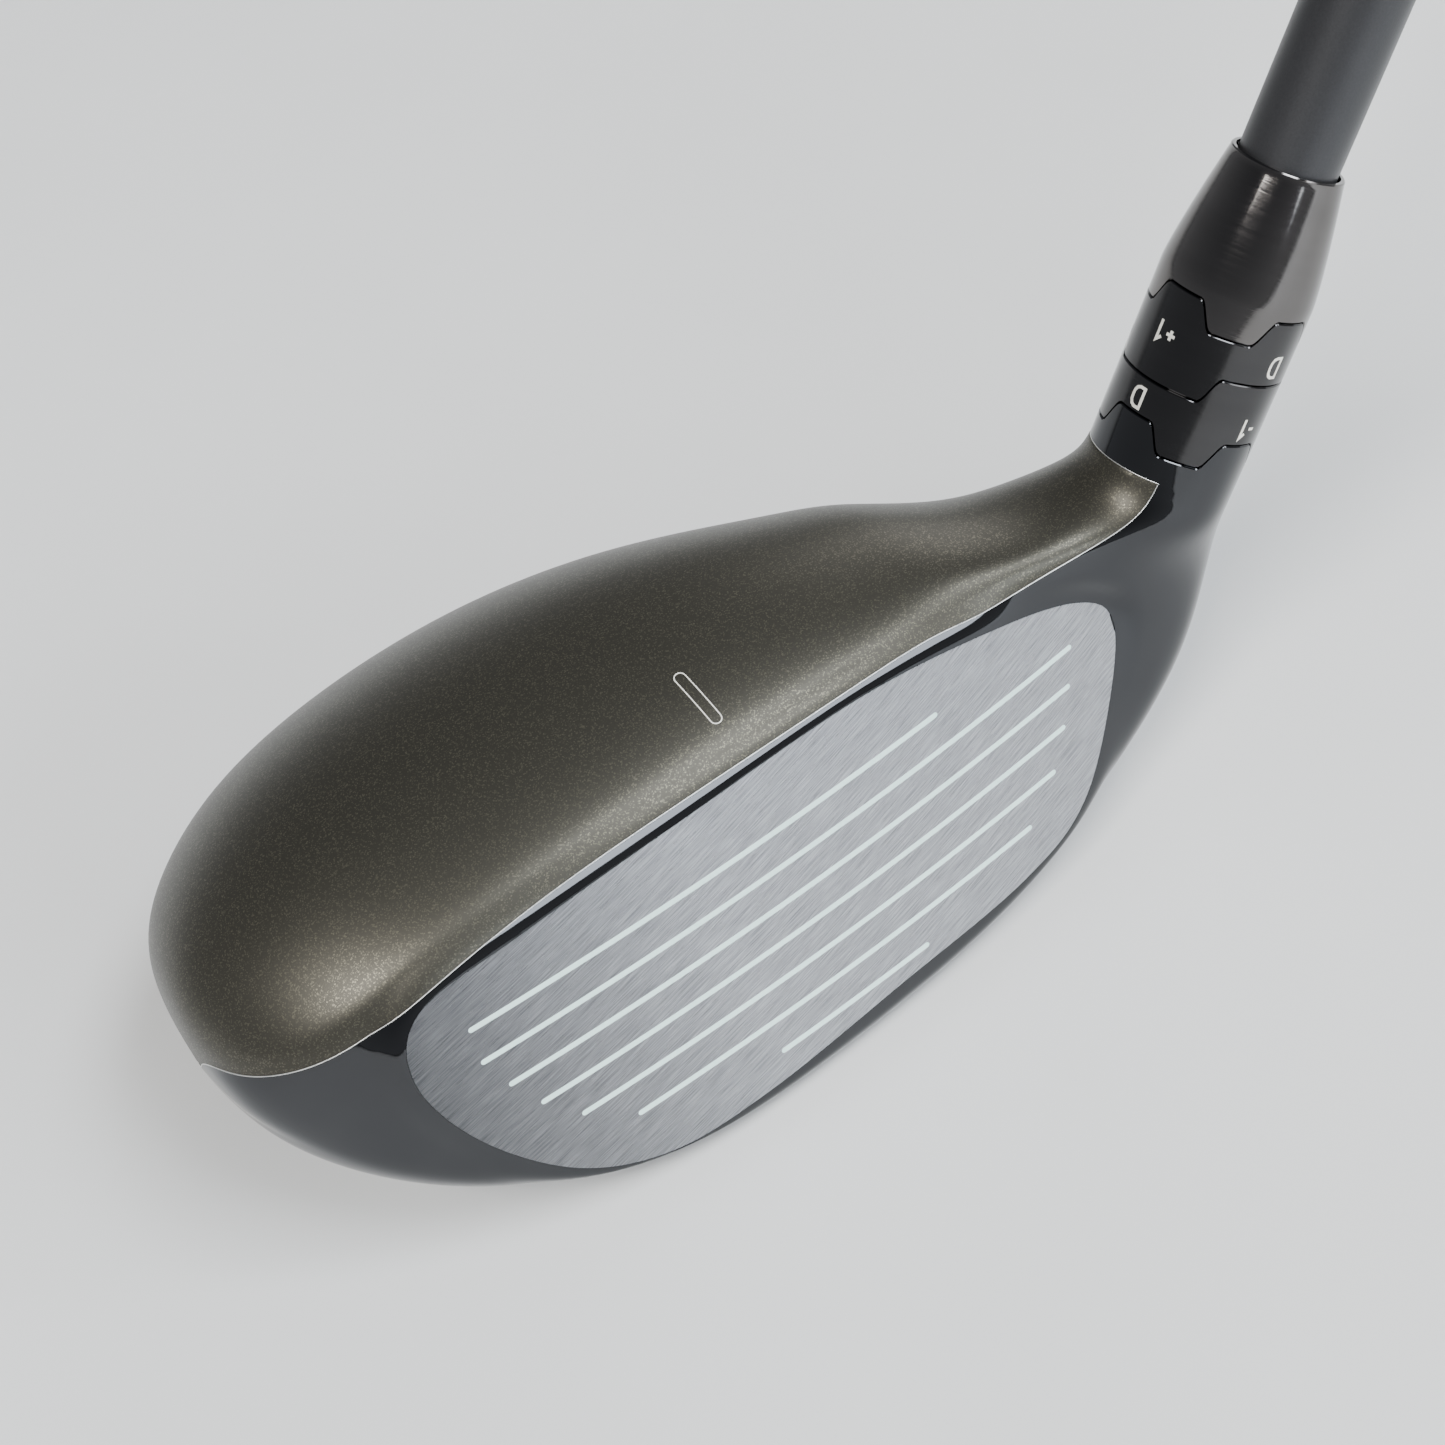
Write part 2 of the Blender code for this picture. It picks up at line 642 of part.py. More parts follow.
def head_body(shaft_axis, weight_axis):
    body = head_solid()
    cavity = cavity_solid()
    boss = turned("hosel_boss", rod_profile(TUBE_RADIUS, BOSS_TOP, BOSS_END), CUTTERS)
    on_axis(boss, shaft_axis)
    weight_boss = turned("weight_boss", rod_profile(WEIGHT_BOSS_RADIUS, WEIGHT_BOSS_HEIGHT, -8), CUTTERS)
    on_axis(weight_boss, weight_axis)
    boolean(cavity, boss)
    boolean(cavity, weight_boss)
    bpy.ops.mesh.primitive_cube_add(size=1.0, location=(0.0, 0.0, -0.010))
    ground = bpy.context.object
    ground.name = "ground_cut"
    ground.data.transform(Matrix.Diagonal((0.2, 0.2, 0.020, 1.0)))
    boolean(body, put(ground, CUTTERS))
    boolean(body, cavity)
    window = crown_patch("crown_window", 0.0, CUTTERS)
    thicken(window, 8.0, -0.2)
    boolean(body, window)
    face_window = outline_prism("face_window", 0.0, PRISM_FRONT, FACE_WINDOW_DEPTH, CUTTERS)
    boolean(face_window, boss)
    boolean(body, face_window)
    port = turned("screw_port", ((0, BORE_BOTTOM + 2), (2.8, BORE_BOTTOM + 2), (2.8, SCREW_SEAT),
                                 (PORT_RADIUS, SCREW_SEAT), (PORT_RADIUS, -30), (0, -30)), CUTTERS)
    boolean(body, on_axis(port, shaft_axis))
    seat = turned("weight_port", ((0, WEIGHT_THREAD_DEPTH), (WEIGHT_THREAD_RADIUS, WEIGHT_THREAD_DEPTH),
                                  (WEIGHT_THREAD_RADIUS, 0), (WEIGHT_PORT_RADIUS, 0),
                                  (WEIGHT_PORT_RADIUS, -9), (0, -9)), CUTTERS)
    boolean(body, on_axis(seat, weight_axis))
    weld = body.modifiers.new("slivers", "WELD")
    weld.merge_threshold = 0.00001
    material(body, (0.010, 0.011, 0.012), 0.06, 0.9)
    smooth(body)
    return body


def crown_shell():
    crown = crown_patch("crown_shell", SEAM_GAP, COLLECTION)
    thicken(crown, CROWN_THICKNESS, -1.0)
    material(crown, (0.075, 0.068, 0.055), 0.45, 0.6)
    smooth(crown)
    return crown


def internal_weight():
    """Dense block low in the toe half of the cavity."""
    bpy.ops.mesh.primitive_cube_add(size=1.0, location=world(BLOCK_PLACE))
    block = bpy.context.object
    block.name = "internal_weight"
    block.data.transform(Matrix.Diagonal((*BLOCK_SIZE, 1.0)))
    bevel = block.modifiers.new("edges", "BEVEL")
    bevel.width = 0.0012
    bevel.segments = 2
    put(block)
    material(block, (0.30, 0.30, 0.32), 0.5, 1.0)
    return block


def socket(name, radius, top, bottom, frame):
    tool = turned(name, rod_profile(radius, top, bottom), CUTTERS, 6)
    return on_axis(tool, frame)


def retaining_screw(axis):
    """Screw that draws the sleeve down; its head sits in the heel port."""
    seat = SCREW_SEAT - 1.3
    profile = ((0, SCREW_TIP), (1.9, SCREW_TIP), (SCREW_RADIUS, SCREW_TIP - 0.7), (SCREW_RADIUS, seat),
               (SCREW_HEAD_RADIUS, seat), (SCREW_HEAD_RADIUS, seat - 3.4),
               (SCREW_HEAD_RADIUS - 0.5, seat - 4.0), (0, seat - 4.0))
    screw = on_axis(turned("retaining_screw", profile, segments=24), axis)
    boolean(screw, socket("screw_socket", 2.2, seat - 1.6, seat - 5.0, axis))
    material(screw, (0.30, 0.30, 0.31), 0.35, 1.0)
    return screw


def screw_washer(axis):
    top = SCREW_SEAT - 0.25
    ring = turned("screw_washer", ((4.4, top), (4.4, top - 0.8), (2.8, top - 0.8), (2.8, top)), segments=24)
    material(ring, (0.35, 0.35, 0.36), 0.4, 1.0)
    return on_axis(ring, axis)


def screw_clip(axis):
    low = BORE_BOTTOM + 0.3
    ring = turned("screw_clip", ((4.3, low + 1.1), (4.3, low), (2.65, low), (2.65, low + 1.1)), segments=24)
    material(ring, (0.03, 0.03, 0.03), 0.7, 0.0)
    return on_axis(ring, axis)


def weight_screw(axis):
    profile = ((0, WEIGHT_SHANK), (2.4, WEIGHT_SHANK), (WEIGHT_SHANK_RADIUS, WEIGHT_SHANK - 0.6),
               (WEIGHT_SHANK_RADIUS, -1.1), (WEIGHT_RADIUS, -1.1), (WEIGHT_RADIUS, -WEIGHT_HEAD + 0.4),
               (WEIGHT_RADIUS - 0.4, -WEIGHT_HEAD), (0, -WEIGHT_HEAD))
    screw = on_axis(turned("weight_screw", profile, segments=24), axis)
    boolean(screw, socket("weight_socket", 2.0, -1.6, -6.0, axis))
    material(screw, (0.28, 0.28, 0.29), 0.4, 1.0)
    return screw


def weight_washer(axis):
    ring = turned("weight_washer", ((6.2, -0.3), (6.2, -0.8), (3.3, -0.8), (3.3, -0.3)), segments=24)
    material(ring, (0.03, 0.03, 0.03), 0.6, 0.0)
    return on_axis(ring, axis)


# ---------------------------------------------------------------- adapter, shaft and grip
def lower_cog(axis):
    wall = ((HOSEL_RADIUS, 0), (HOSEL_RADIUS, 0))
    hole = ((BORE_RADIUS, 0), (BORE_RADIUS, 0))
    cog = toothed_ring("lower_cog", wall, hole, (0, FIT_GAP), (1, 0.0))
    material(cog, (0.010, 0.010, 0.010), 0.12, 0.6)
    return on_axis(cog, axis)


def upper_cog(axis):
    wall = ((HOSEL_RADIUS, 0), (HOSEL_RADIUS, 0))
    hole = ((BORE_RADIUS, 0), (BORE_RADIUS, 0))
    cog = toothed_ring("upper_cog", wall, hole, (1, FIT_GAP), (2, 0.0))
    material(cog, (0.010, 0.010, 0.010), 0.12, 0.6)
    return on_axis(cog, axis)


def ferrule(axis):
    """Tapered collar; its lower edge meshes with the upper cog."""
    start = TOOTH_LEVELS[2][1] + 0.8
    outer = [(HOSEL_RADIUS, 0), (HOSEL_RADIUS, start)]
    for k in range(1, 6):
        share = k / 6
        drop = (HOSEL_RADIUS - FERRULE_TOP_RADIUS) * share ** 1.25
        outer.append((HOSEL_RADIUS - drop, start + (FERRULE_TOP - 0.5 - start) * share))
    outer += [(FERRULE_TOP_RADIUS, FERRULE_TOP - 0.3), (FERRULE_TOP_RADIUS - 0.2, FERRULE_TOP)]
    step = SLEEVE_TOP + 0.4
    inner = [(BORE_RADIUS, 0), (BORE_RADIUS, step), (4.95, step), (4.95, FERRULE_TOP)]
    collar = toothed_ring("ferrule", outer, inner, (2, FIT_GAP), None)
    material(collar, (0.012, 0.011, 0.010), 0.10, 0.8)
    return on_axis(collar, axis)


def adapter_sleeve(axis):
    profile = ((SLEEVE_RADIUS, SLEEVE_TOP), (SLEEVE_RADIUS, 0.0), (SLEEVE_RADIUS - 0.6, SLEEVE_BOTTOM),
               (2.8, SLEEVE_BOTTOM), (2.8, SLEEVE_SHOULDER), (4.85, SLEEVE_SHOULDER),
               (4.85, SLEEVE_TOP))
    sleeve = turned("adapter_sleeve", profile)
    material(sleeve, (0.45, 0.46, 0.48), 0.35, 1.0)
    return on_axis(sleeve, axis)


def butt_station():
    """Station of the butt cap's end face on the shaft's axis."""
    ground = -(HOSEL_POINT[2] + FACE_CENTRE[2]) / math.sin(LIE)
    return ground + CLUB_LENGTH


def shaft_radius(station):
    """Parallel tip, then an even taper to the butt."""
    start = 90.0
    end = butt_station() - GRIP_LENGTH
    share = min(max((station - start) / (end - start), 0.0), 1.0)
    return SHAFT_TIP_RADIUS + (SHAFT_BUTT_RADIUS - SHAFT_TIP_RADIUS) * share


def shaft(axis):
    tip = SLEEVE_SHOULDER + 0.3
    end = butt_station() - 4.5
    stations = (end, butt_station() - GRIP_LENGTH, 540.0, 315.0, 90.0, tip)
    outer = [(shaft_radius(a), a) for a in stations]
    inner = [(2.6, tip), (2.6, 60.0), (shaft_radius(315.0) - 1.3, 315.0), (shaft_radius(end) - 1.0, end)]
    tube = turned("shaft", outer + inner)
    material(tube, (0.035, 0.036, 0.040), 0.45, 0.2)
    return on_axis(tube, axis)


def tip_plug(axis):
    tip = SLEEVE_SHOULDER + 0.8
    plug = turned("tip_plug", ((0, tip + 20), (2.0, tip + 20), (2.3, tip + 19.4), (2.3, tip), (0, tip)),
                  segments=16)
    material(plug, (0.55, 0.42, 0.18), 0.4, 1.0)
    return on_axis(plug, axis)


def grip_tape(axis):
    low = butt_station() - GRIP_LENGTH + 6.0
    high = butt_station() - 5.0
    inside = SHAFT_BUTT_RADIUS + 0.12
    tape = turned("grip_tape", ((inside + 0.2, high), (inside + 0.2, low), (inside, low), (inside, high)))
    material(tape, (0.70, 0.66, 0.55), 0.8, 0.0)
    return on_axis(tape, axis)


def grip(axis):
    """Rubber sleeve: narrow mouth, even taper, and a rolled rim round the butt cap."""
    end = butt_station()
    mouth = end - GRIP_LENGTH
    inside = SHAFT_BUTT_RADIUS + 0.45
    profile = [(CAP_RADIUS + 0.8, end - 0.3), (GRIP_BUTT_RADIUS + 0.6, end - 0.9),
               (GRIP_BUTT_RADIUS + 1.4, end - 3.0), (GRIP_BUTT_RADIUS + 0.9, end - 6.5),
               (GRIP_BUTT_RADIUS - 0.2, end - 12.0)]
    for share in (0.2, 0.4, 0.6, 0.8, 0.93):
        radius = GRIP_BUTT_RADIUS - 0.3 + (GRIP_MOUTH_RADIUS + 0.3 - GRIP_BUTT_RADIUS) * share ** 0.8
        profile.append((radius, end - 12.0 - (GRIP_LENGTH - 18.0) * share))
    profile += [(GRIP_MOUTH_RADIUS + 0.1, mouth + 6.0), (GRIP_MOUTH_RADIUS, mouth + 1.0),
                (GRIP_MOUTH_RADIUS - 0.8, mouth), (inside, mouth), (inside, end - 4.2),
                (CAP_RADIUS + 0.3, end - 4.2), (CAP_RADIUS + 0.3, end - 0.7)]
    sleeve = turned("grip", profile)
    material(sleeve, (0.02, 0.02, 0.022), 0.75, 0.0)
    return on_axis(sleeve, axis)


def grip_cap(axis):
    end = butt_station()
    cap = turned("grip_cap", ((0, end), (CAP_RADIUS - 0.5, end), (CAP_RADIUS, end - 0.5),
                              (CAP_RADIUS, end - 3.9), (0, end - 3.9)))
    material(cap, (0.025, 0.025, 0.027), 0.5, 0.0)
    return on_axis(cap, axis)


def main():
    clear_scene()
    shaft_axis = axis_frame()
    weight_axis = port_frame()
    head_body(shaft_axis, weight_axis)
    crown_shell()
    face_plate(shaft_axis)
    internal_weight()
    for piece in (retaining_screw, screw_washer, screw_clip, lower_cog, upper_cog, ferrule,
                  adapter_sleeve, shaft, tip_plug, grip_tape, grip, grip_cap):
        piece(shaft_axis)
    for piece in (weight_screw, weight_washer):
        piece(weight_axis)


main()
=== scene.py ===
"""Looks of the hybrid golf club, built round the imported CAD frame.

The head's surface is the same spline loft as in the CAD, sampled finely, so each visible piece
sits where its CAD node is.  Lengths in the tables are millimetres from the centre of the face.
"""

import json
import math

import bmesh
import bpy
import numpy as np
from mathutils import Matrix, Vector

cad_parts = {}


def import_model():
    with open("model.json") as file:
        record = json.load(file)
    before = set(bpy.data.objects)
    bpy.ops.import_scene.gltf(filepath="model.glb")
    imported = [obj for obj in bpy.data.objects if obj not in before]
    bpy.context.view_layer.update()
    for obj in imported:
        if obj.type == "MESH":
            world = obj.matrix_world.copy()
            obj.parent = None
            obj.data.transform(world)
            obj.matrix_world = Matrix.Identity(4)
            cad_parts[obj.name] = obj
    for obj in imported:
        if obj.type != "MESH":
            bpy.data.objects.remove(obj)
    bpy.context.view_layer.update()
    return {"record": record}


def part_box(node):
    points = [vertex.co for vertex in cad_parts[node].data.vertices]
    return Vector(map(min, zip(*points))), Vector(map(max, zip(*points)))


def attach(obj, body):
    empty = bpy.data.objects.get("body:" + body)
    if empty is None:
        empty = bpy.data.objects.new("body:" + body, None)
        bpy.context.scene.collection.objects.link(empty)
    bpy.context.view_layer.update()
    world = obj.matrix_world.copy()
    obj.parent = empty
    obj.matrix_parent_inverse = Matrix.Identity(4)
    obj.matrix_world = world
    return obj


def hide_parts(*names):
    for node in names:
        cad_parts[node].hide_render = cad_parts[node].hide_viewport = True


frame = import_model()

BODY_OF = {node: body for body, nodes in frame["record"]["behaviour"]["bodies"].items()
           for node in nodes}

MM = 0.001
MM_PER_METRE = 1000.0
CLUB_LENGTH = 1016.0                   # 40 inches along the shaft, from the ground
LIE = math.radians(58.7)
LIE_COS, LIE_SIN = math.cos(LIE), math.sin(LIE)
LOFT = math.radians(21.3)
LOFT_COS, LOFT_SIN = math.cos(LOFT), math.sin(LOFT)
FACE_RADIUS = 285.0
FACE_CENTRE = Vector((3.4, -8.3, 16.3))
HOSEL_POINT = Vector((43.0, 10.0, 0.0))

HOSEL_RADIUS = 7.4
BORE_RADIUS = 5.7
TUBE_RADIUS = 6.8
BORE_BOTTOM = -6.0
SLEEVE_RADIUS = 5.4
SHAFT_TIP_RADIUS = 4.7
SHAFT_BUTT_RADIUS = 7.6
TOOTH_LEVELS = ((19.85, 22.55), (26.05, 28.7), (32.4, 35.05))
TOOTH_COUNTS = (4, 2, 4)
TOOTH_HALF_ANGLES = ((17.0, 28.0), (40.0, 48.0), (17.0, 28.0))
TOOTH_ROUNDING = 2.2                   # degrees over which a tooth's corners are rounded
TOOTH_GAP = 0.09                       # visible seam between two toothed edges
CHAMFER = 0.12
FERRULE_TOP = 47.7
FERRULE_TOP_RADIUS = 5.42
SLEEVE_TOP = 39.2
SLEEVE_BOTTOM = -4.0
SLEEVE_SHOULDER = 5.3
SCREW_SEAT = -9.0
SCREW_TIP = 3.5
SCREW_HOLE, SCREW_PORT = 2.8, 4.9      # radii of the hole in the seat and of the port below it
WEIGHT_HOLE, WEIGHT_RECESS = 3.3, 6.8
BUTT = CLUB_LENGTH - (HOSEL_POINT[2] + FACE_CENTRE[2]) / LIE_SIN
GRIP_LENGTH = 267.0
GRIP_MOUTH_RADIUS = 9.6
GRIP_BUTT_RADIUS = 13.0
CAP_RADIUS = 11.0
WALL = 2.2
GROOVE_SPACING = 3.44
GROOVE_RADIUS = 0.30
GROOVES = ((-33.8, 18.2), (-34.2, 34.7), (-33.0, 33.0), (-31.3, 30.9),
           (-28.6, 28.1), (-24.1, 23.4), (-9.5, 8.4))

BODY_RINGS = (
    (-53.0, 14.2, 2.4, 6.6, 0.9, 28.5, 3.8, 1.4),
    (-52.0, 8.1, 1.4, 8.5, 2.8, 37.5, 3.3, -0.9),
    (-45.5, 2.1, -2.4, 12.0, 4.2, 45.6, 1.9, -5.7),
    (-36.0, 0.0, -8.2, 16.0, 3.6, 51.3, 0.9, -11.2),
    (-23.0, 0.0, -13.5, 17.7, 3.3, 54.1, 0.0, -15.8),
    (-7.5, 0.0, -15.0, 18.0, 3.4, 53.7, 0.0, -16.7),
    (7.5, 0.0, -14.7, 17.8, 3.0, 48.9, 0.5, -16.4),
    (21.0, 0.0, -13.7, 16.7, 1.9, 40.3, 1.2, -15.2),
)
TOE_POLE = (-53.2, 23.3, 3.3)
NECK_PIVOT = (21.0, 29.0)
FAN_RINGS = (
    (20.0, 17.0, 17.1, 12.4, 46.8, 1.0, 0.06),
    (38.0, 12.0, 13.3, 16.4, 48.5, 0.9, 0.06),
    (50.0, 10.0, 11.9, 21.5, 45.5, 0.5, 0.04),
    (58.7, 7.9, 10.4, 25.2, 41.5, 0.0, 0.0),
)
FRONT_POINTS = range(2, 7)
HOSEL_RINGS = (16.0, 18.0, 20.0)
LOFT_END_STATION = 17.0
PROFILE_POINTS = 16
CROWN_FRONT = (6.1, 5.9, 5.7, 5.45, 5.65, 5.95, 6.05, 6.05,
               6.1, 6.12, 6.2, 6.25, 6.3, 6.3, 6.3, 6.3)
HOSEL_FRONT = 6.3                      # the crown's front edge on the hosel, in profile units
CROWN_REAR = 11.8
FACE_OUTLINE = (
    (-39.9, 8.6), (-36.7, 14.4), (-26.0, 15.8), (-9.5, 16.7), (11.4, 16.6), (27.8, 13.6),
    (37.4, 10.1), (40.4, 5.9), (36.9, -1.1), (29.9, -8.9), (20.9, -11.6), (4.0, -12.3),
    (-12.4, -13.4), (-22.8, -12.7), (-31.1, -8.4), (-37.5, 0.0),
)
CROWN_DEPTH = 0.6                      # thickness of the painted skin and of its recess
CROWN_FIRST = 0.03
PAINT_RING = 17.4                      # station of the paint's edge round the hosel
SKIN_GAP = 0.035                       # seam round the painted skin
SKIN_RIM = 0.07                        # how far the skin's edge is lowered
SOCKET_LOBES = 0.11                    # depth of the six lobes of a screw's socket, as a share
MERGE = 1e-7                           # metres below which two vertices are one
FACE_INWARD = (0.0, LOFT_COS, -LOFT_SIN)       # from the middle of the face into the head


# ---------------------------------------------------------------- head surface, as in the CAD
def face_depth(x, z):
    up = z / LOFT_COS
    for _ in range(4):
        up = (z + (x * x + up * up) * LOFT_SIN / (2 * FACE_RADIUS)) / LOFT_COS
    return up * LOFT_SIN + (x * x + up * up) * LOFT_COS / (2 * FACE_RADIUS)


def face_point(x, up, deep=0.0):
    sag = (x * x + up * up) / (2 * FACE_RADIUS) + deep
    return Vector((x, up * LOFT_SIN + sag * LOFT_COS,
                   up * LOFT_COS - sag * LOFT_SIN))


def body_ring(x, set_back, edge_z, top_z, rise, rear_y, rear_z, sole_z):
    height = top_z - edge_z
    narrow = min(1.0, height / 30.0)
    front = [face_depth(x, edge_z + share * height) for share in (0.0, 0.22, 0.5, 0.8, 1.0)]
    low_y = front[0] + set_back
    top_y = front[4] + set_back
    apex = top_z + rise
    points = [
        (low_y + 8.0 * narrow, sole_z),
        (low_y + 1.6 * narrow, edge_z - (edge_z - sole_z) * 0.75),
        (low_y, edge_z + 0.06 * height),
        (front[1] + 0.85 * set_back, edge_z + 0.22 * height),
        (front[2] + 0.80 * set_back, edge_z + 0.50 * height),
        (front[3] + 0.85 * set_back, edge_z + 0.80 * height),
        (face_depth(x, edge_z + 0.97 * height) + set_back, edge_z + 0.97 * height),
        (top_y + 2.6 * narrow, top_z + 0.25 * rise),
    ]
    for along, share in ((0.24, 0.98), (0.50, 1.0), (0.76, 0.74), (0.95, 0.36)):
        points.append((top_y + (rear_y - top_y) * along, rear_z + (apex - rear_z) * share))
    points.append((rear_y + 0.6, rear_z))
    points.append((rear_y - 1.2, rear_z - (rear_z - sole_z) * 0.42))
    points.append((rear_y - (rear_y - low_y) * 0.20, sole_z + (rear_z - sole_z) * 0.22))
    points.append((low_y + (rear_y - low_y) * 0.45, sole_z))
    return [(x, y, z) for y, z in points]


def ring_turns():
    return [math.radians(-90.0 + 360.0 * k / PROFILE_POINTS) for k in range(PROFILE_POINTS)]


def round_swell():
    return 6.0 / (4.0 + 2.0 * math.cos(2 * math.pi / PROFILE_POINTS))


def fan_ring(turn, half_width, middle_y, near, far, flush, square):
    lean = math.radians(turn)
    row = []
    for index, angle in enumerate(ring_turns()):
        swell = round_swell() * (1 + square * abs(math.sin(2 * angle)))
        reach = (near + far) / 2 - swell * (far - near) / 2 * math.sin(angle)
        x = NECK_PIVOT[0] + reach * math.sin(lean)
        z = NECK_PIVOT[1] - reach * math.cos(lean)
        y = middle_y - swell * half_width * math.cos(angle)
        if index in FRONT_POINTS:
            y += flush * (face_depth(x, z) - y)
        row.append((x, y, z))
    return row


def profile_degrees(t):
    """Angle round the hosel of a profile parameter: 0 is the face side, 90 the toe side."""
    return t * 360.0 / PROFILE_POINTS - 90.0


def hosel_surface(radius, angle, station):
    across = radius * math.sin(angle)
    return (HOSEL_POINT[0] + station * LIE_COS - across * LIE_SIN,
            HOSEL_POINT[1] - radius * math.cos(angle),
            HOSEL_POINT[2] + station * LIE_SIN + across * LIE_COS)


def hosel_ring(station):
    swell = HOSEL_RADIUS * round_swell()
    return [hosel_surface(swell, angle, station) for angle in ring_turns()]


def control_rings():
    rings = [[TOE_POLE] * PROFILE_POINTS]
    rings += [body_ring(*ring) for ring in BODY_RINGS]
    rings += [fan_ring(*ring) for ring in FAN_RINGS]
    rings += [hosel_ring(station) for station in HOSEL_RINGS]
    return np.array(rings)


CONTROLS = control_rings()
LENGTH_UNITS = len(CONTROLS) - 3


def length_weights(s):
    count = len(CONTROLS)
    knots = [0.0] * 3 + [float(k) for k in range(LENGTH_UNITS + 1)] + [float(LENGTH_UNITS)] * 3
    s = min(max(s, 0.0), LENGTH_UNITS - 1e-9)
    span = 3 + int(s)
    values = {span: 1.0}
    for degree in range(1, 4):
        grown = {}
        for k in range(span - degree, span + 1):
            left = knots[k + degree] - knots[k]
            right = knots[k + degree + 1] - knots[k + 1]
            value = 0.0
            if left > 0:
                value += values.get(k, 0.0) * (s - knots[k]) / left
            if right > 0:
                value += values.get(k + 1, 0.0) * (knots[k + degree + 1] - s) / right
            grown[k] = value
        values = grown
    weights = np.zeros(count)
    for k, value in values.items():
        weights[k] = value
    return weights


def profile_matrix(ts):
    """Weights of the section's control points, one row for each profile parameter."""
    weights = np.zeros((len(ts), PROFILE_POINTS))
    for row, t in enumerate(ts):
        k = math.floor(t)
        f = t - k
        cubic = ((1 - f) ** 3 / 6, (3 * f ** 3 - 6 * f * f + 4) / 6,
                 (-3 * f ** 3 + 3 * f * f + 3 * f + 1) / 6, f ** 3 / 6)
        for step, value in enumerate(cubic):
            weights[row, (k - 1 + step) % PROFILE_POINTS] += value
    return weights


def section(s, ts):
    return profile_matrix(ts) @ np.tensordot(length_weights(s), CONTROLS, 1)


def outline_points(gap, steps):
    count = len(FACE_OUTLINE)
    line = []
    for k in range(count):
        p0, p1, p2, p3 = (np.array(FACE_OUTLINE[(k + d - 1) % count]) for d in range(4))
        for f in np.arange(steps) / steps:
            line.append(0.5 * (2 * p1 + (p2 - p0) * f + (2 * p0 - 5 * p1 + 4 * p2 - p3) * f ** 2
                               + (3 * p1 - p0 - 3 * p2 + p3) * f ** 3))
    moved = []
    for k, point in enumerate(line):
        along = line[(k + 1) % len(line)] - line[k - 1]
        inward = np.array((along[1], -along[0])) / np.linalg.norm(along)
        moved.append(point + inward * gap)
    return moved


OUTLINE = np.array(outline_points(0.0, 6))
FLUSH_REACH = 3.0                      # mm outside the plate over which the head meets it level
FLUSH_DEPTH = 2.2                      # mm from the face's surface beyond which nothing is moved
FLUSH_FADE = 1.2


def outside_distance(spots):
    """Distance of (x, up) spots outside the face outline; 0 inside it."""
    first, last = OUTLINE, np.roll(OUTLINE, -1, axis=0)
    edge = last - first
    rel = spots[:, None, :] - first[None]
    share = np.clip((rel * edge).sum(-1) / (edge ** 2).sum(-1), 0, 1)
    near = np.linalg.norm(rel - share[..., None] * edge, axis=-1).min(axis=1)
    above = (first[None, :, 1] > spots[:, None, 1]) != (last[None, :, 1] > spots[:, None, 1])
    crossing = first[None, :, 0] + edge[None, :, 0] * (
        (spots[:, None, 1] - first[None, :, 1]) / (edge[None, :, 1] + 1e-12))
    inside = (above & (spots[:, None, 0] < crossing)).sum(axis=1) % 2 == 1
    return np.where(inside, 0.0, near)


def level_with_plate(points):
    """Bring the head's front flush with the face plate where the two meet."""
    up = points[:, 1] * LOFT_SIN + points[:, 2] * LOFT_COS
    sag = (points[:, 0] ** 2 + up ** 2) / (2 * FACE_RADIUS)
    deep = points[:, 1] * LOFT_COS - points[:, 2] * LOFT_SIN - sag
    close = np.abs(deep) < FLUSH_DEPTH
    result = np.array(points)
    if not close.any():
        return result
    reach = outside_distance(np.stack([points[close, 0], up[close]], axis=1))
    near = np.clip(1 - reach / FLUSH_REACH, 0, 1)
    shallow = np.clip((FLUSH_DEPTH - np.abs(deep[close])) / FLUSH_FADE, 0, 1)
    weight = near ** 2 * (3 - 2 * near) * shallow ** 2 * (3 - 2 * shallow)
    result[close] -= (deep[close] * weight)[:, None] * np.array(FACE_INWARD)
    return result


def crown_front(s):
    return float(length_weights(s) @ np.array(CROWN_FRONT))


def surface(s, ts):
    """Points and outward normals of the head's outside along one section."""
    step = 0.004
    low, high = max(s - step, 0.002), min(s + step, LENGTH_UNITS - 0.002)
    along = section(high, ts) - section(low, ts)
    around = section(s, [t + step for t in ts]) - section(s, [t - step for t in ts])
    points = section(s, ts)
    normals = np.cross(along, around)
    normals /= np.linalg.norm(normals, axis=1)[:, None] + 1e-12
    centre = section(s, list(range(PROFILE_POINTS))).mean(axis=0)
    if np.sum(normals * (points - centre)) < 0:
        normals = -normals
    return level_with_plate(points), normals


def loft_end():
    axis = np.array((LIE_COS, 0.0, LIE_SIN))
    low, high = 0.0, float(LENGTH_UNITS)
    for _ in range(40):
        middle = (low + high) / 2
        centre = section(middle, list(range(PROFILE_POINTS))).mean(axis=0)
        if (centre - np.array(HOSEL_POINT)) @ axis < LOFT_END_STATION:
            low = middle
        else:
            high = middle
    return low


LOFT_END = loft_end()


def world(point):
    return (Vector(point) + FACE_CENTRE) * MM


# ---------------------------------------------------------------- mesh helpers
SHAFT_FRAME = (Matrix.Translation((FACE_CENTRE + HOSEL_POINT) * MM)
               @ Matrix.Rotation(math.pi / 2 - LIE, 4, "Y"))
WEIGHT_PORT = Vector((-8.0, 32.2, -10.2))
WEIGHT_TILT = math.radians(11.5)
WEIGHT_FRAME = Matrix.Translation(world(WEIGHT_PORT)) @ Matrix.Rotation(WEIGHT_TILT, 4, "X")


def add_object(name, data):
    obj = bpy.data.objects.new(name, data)
    bpy.context.scene.collection.objects.link(obj)
    return obj


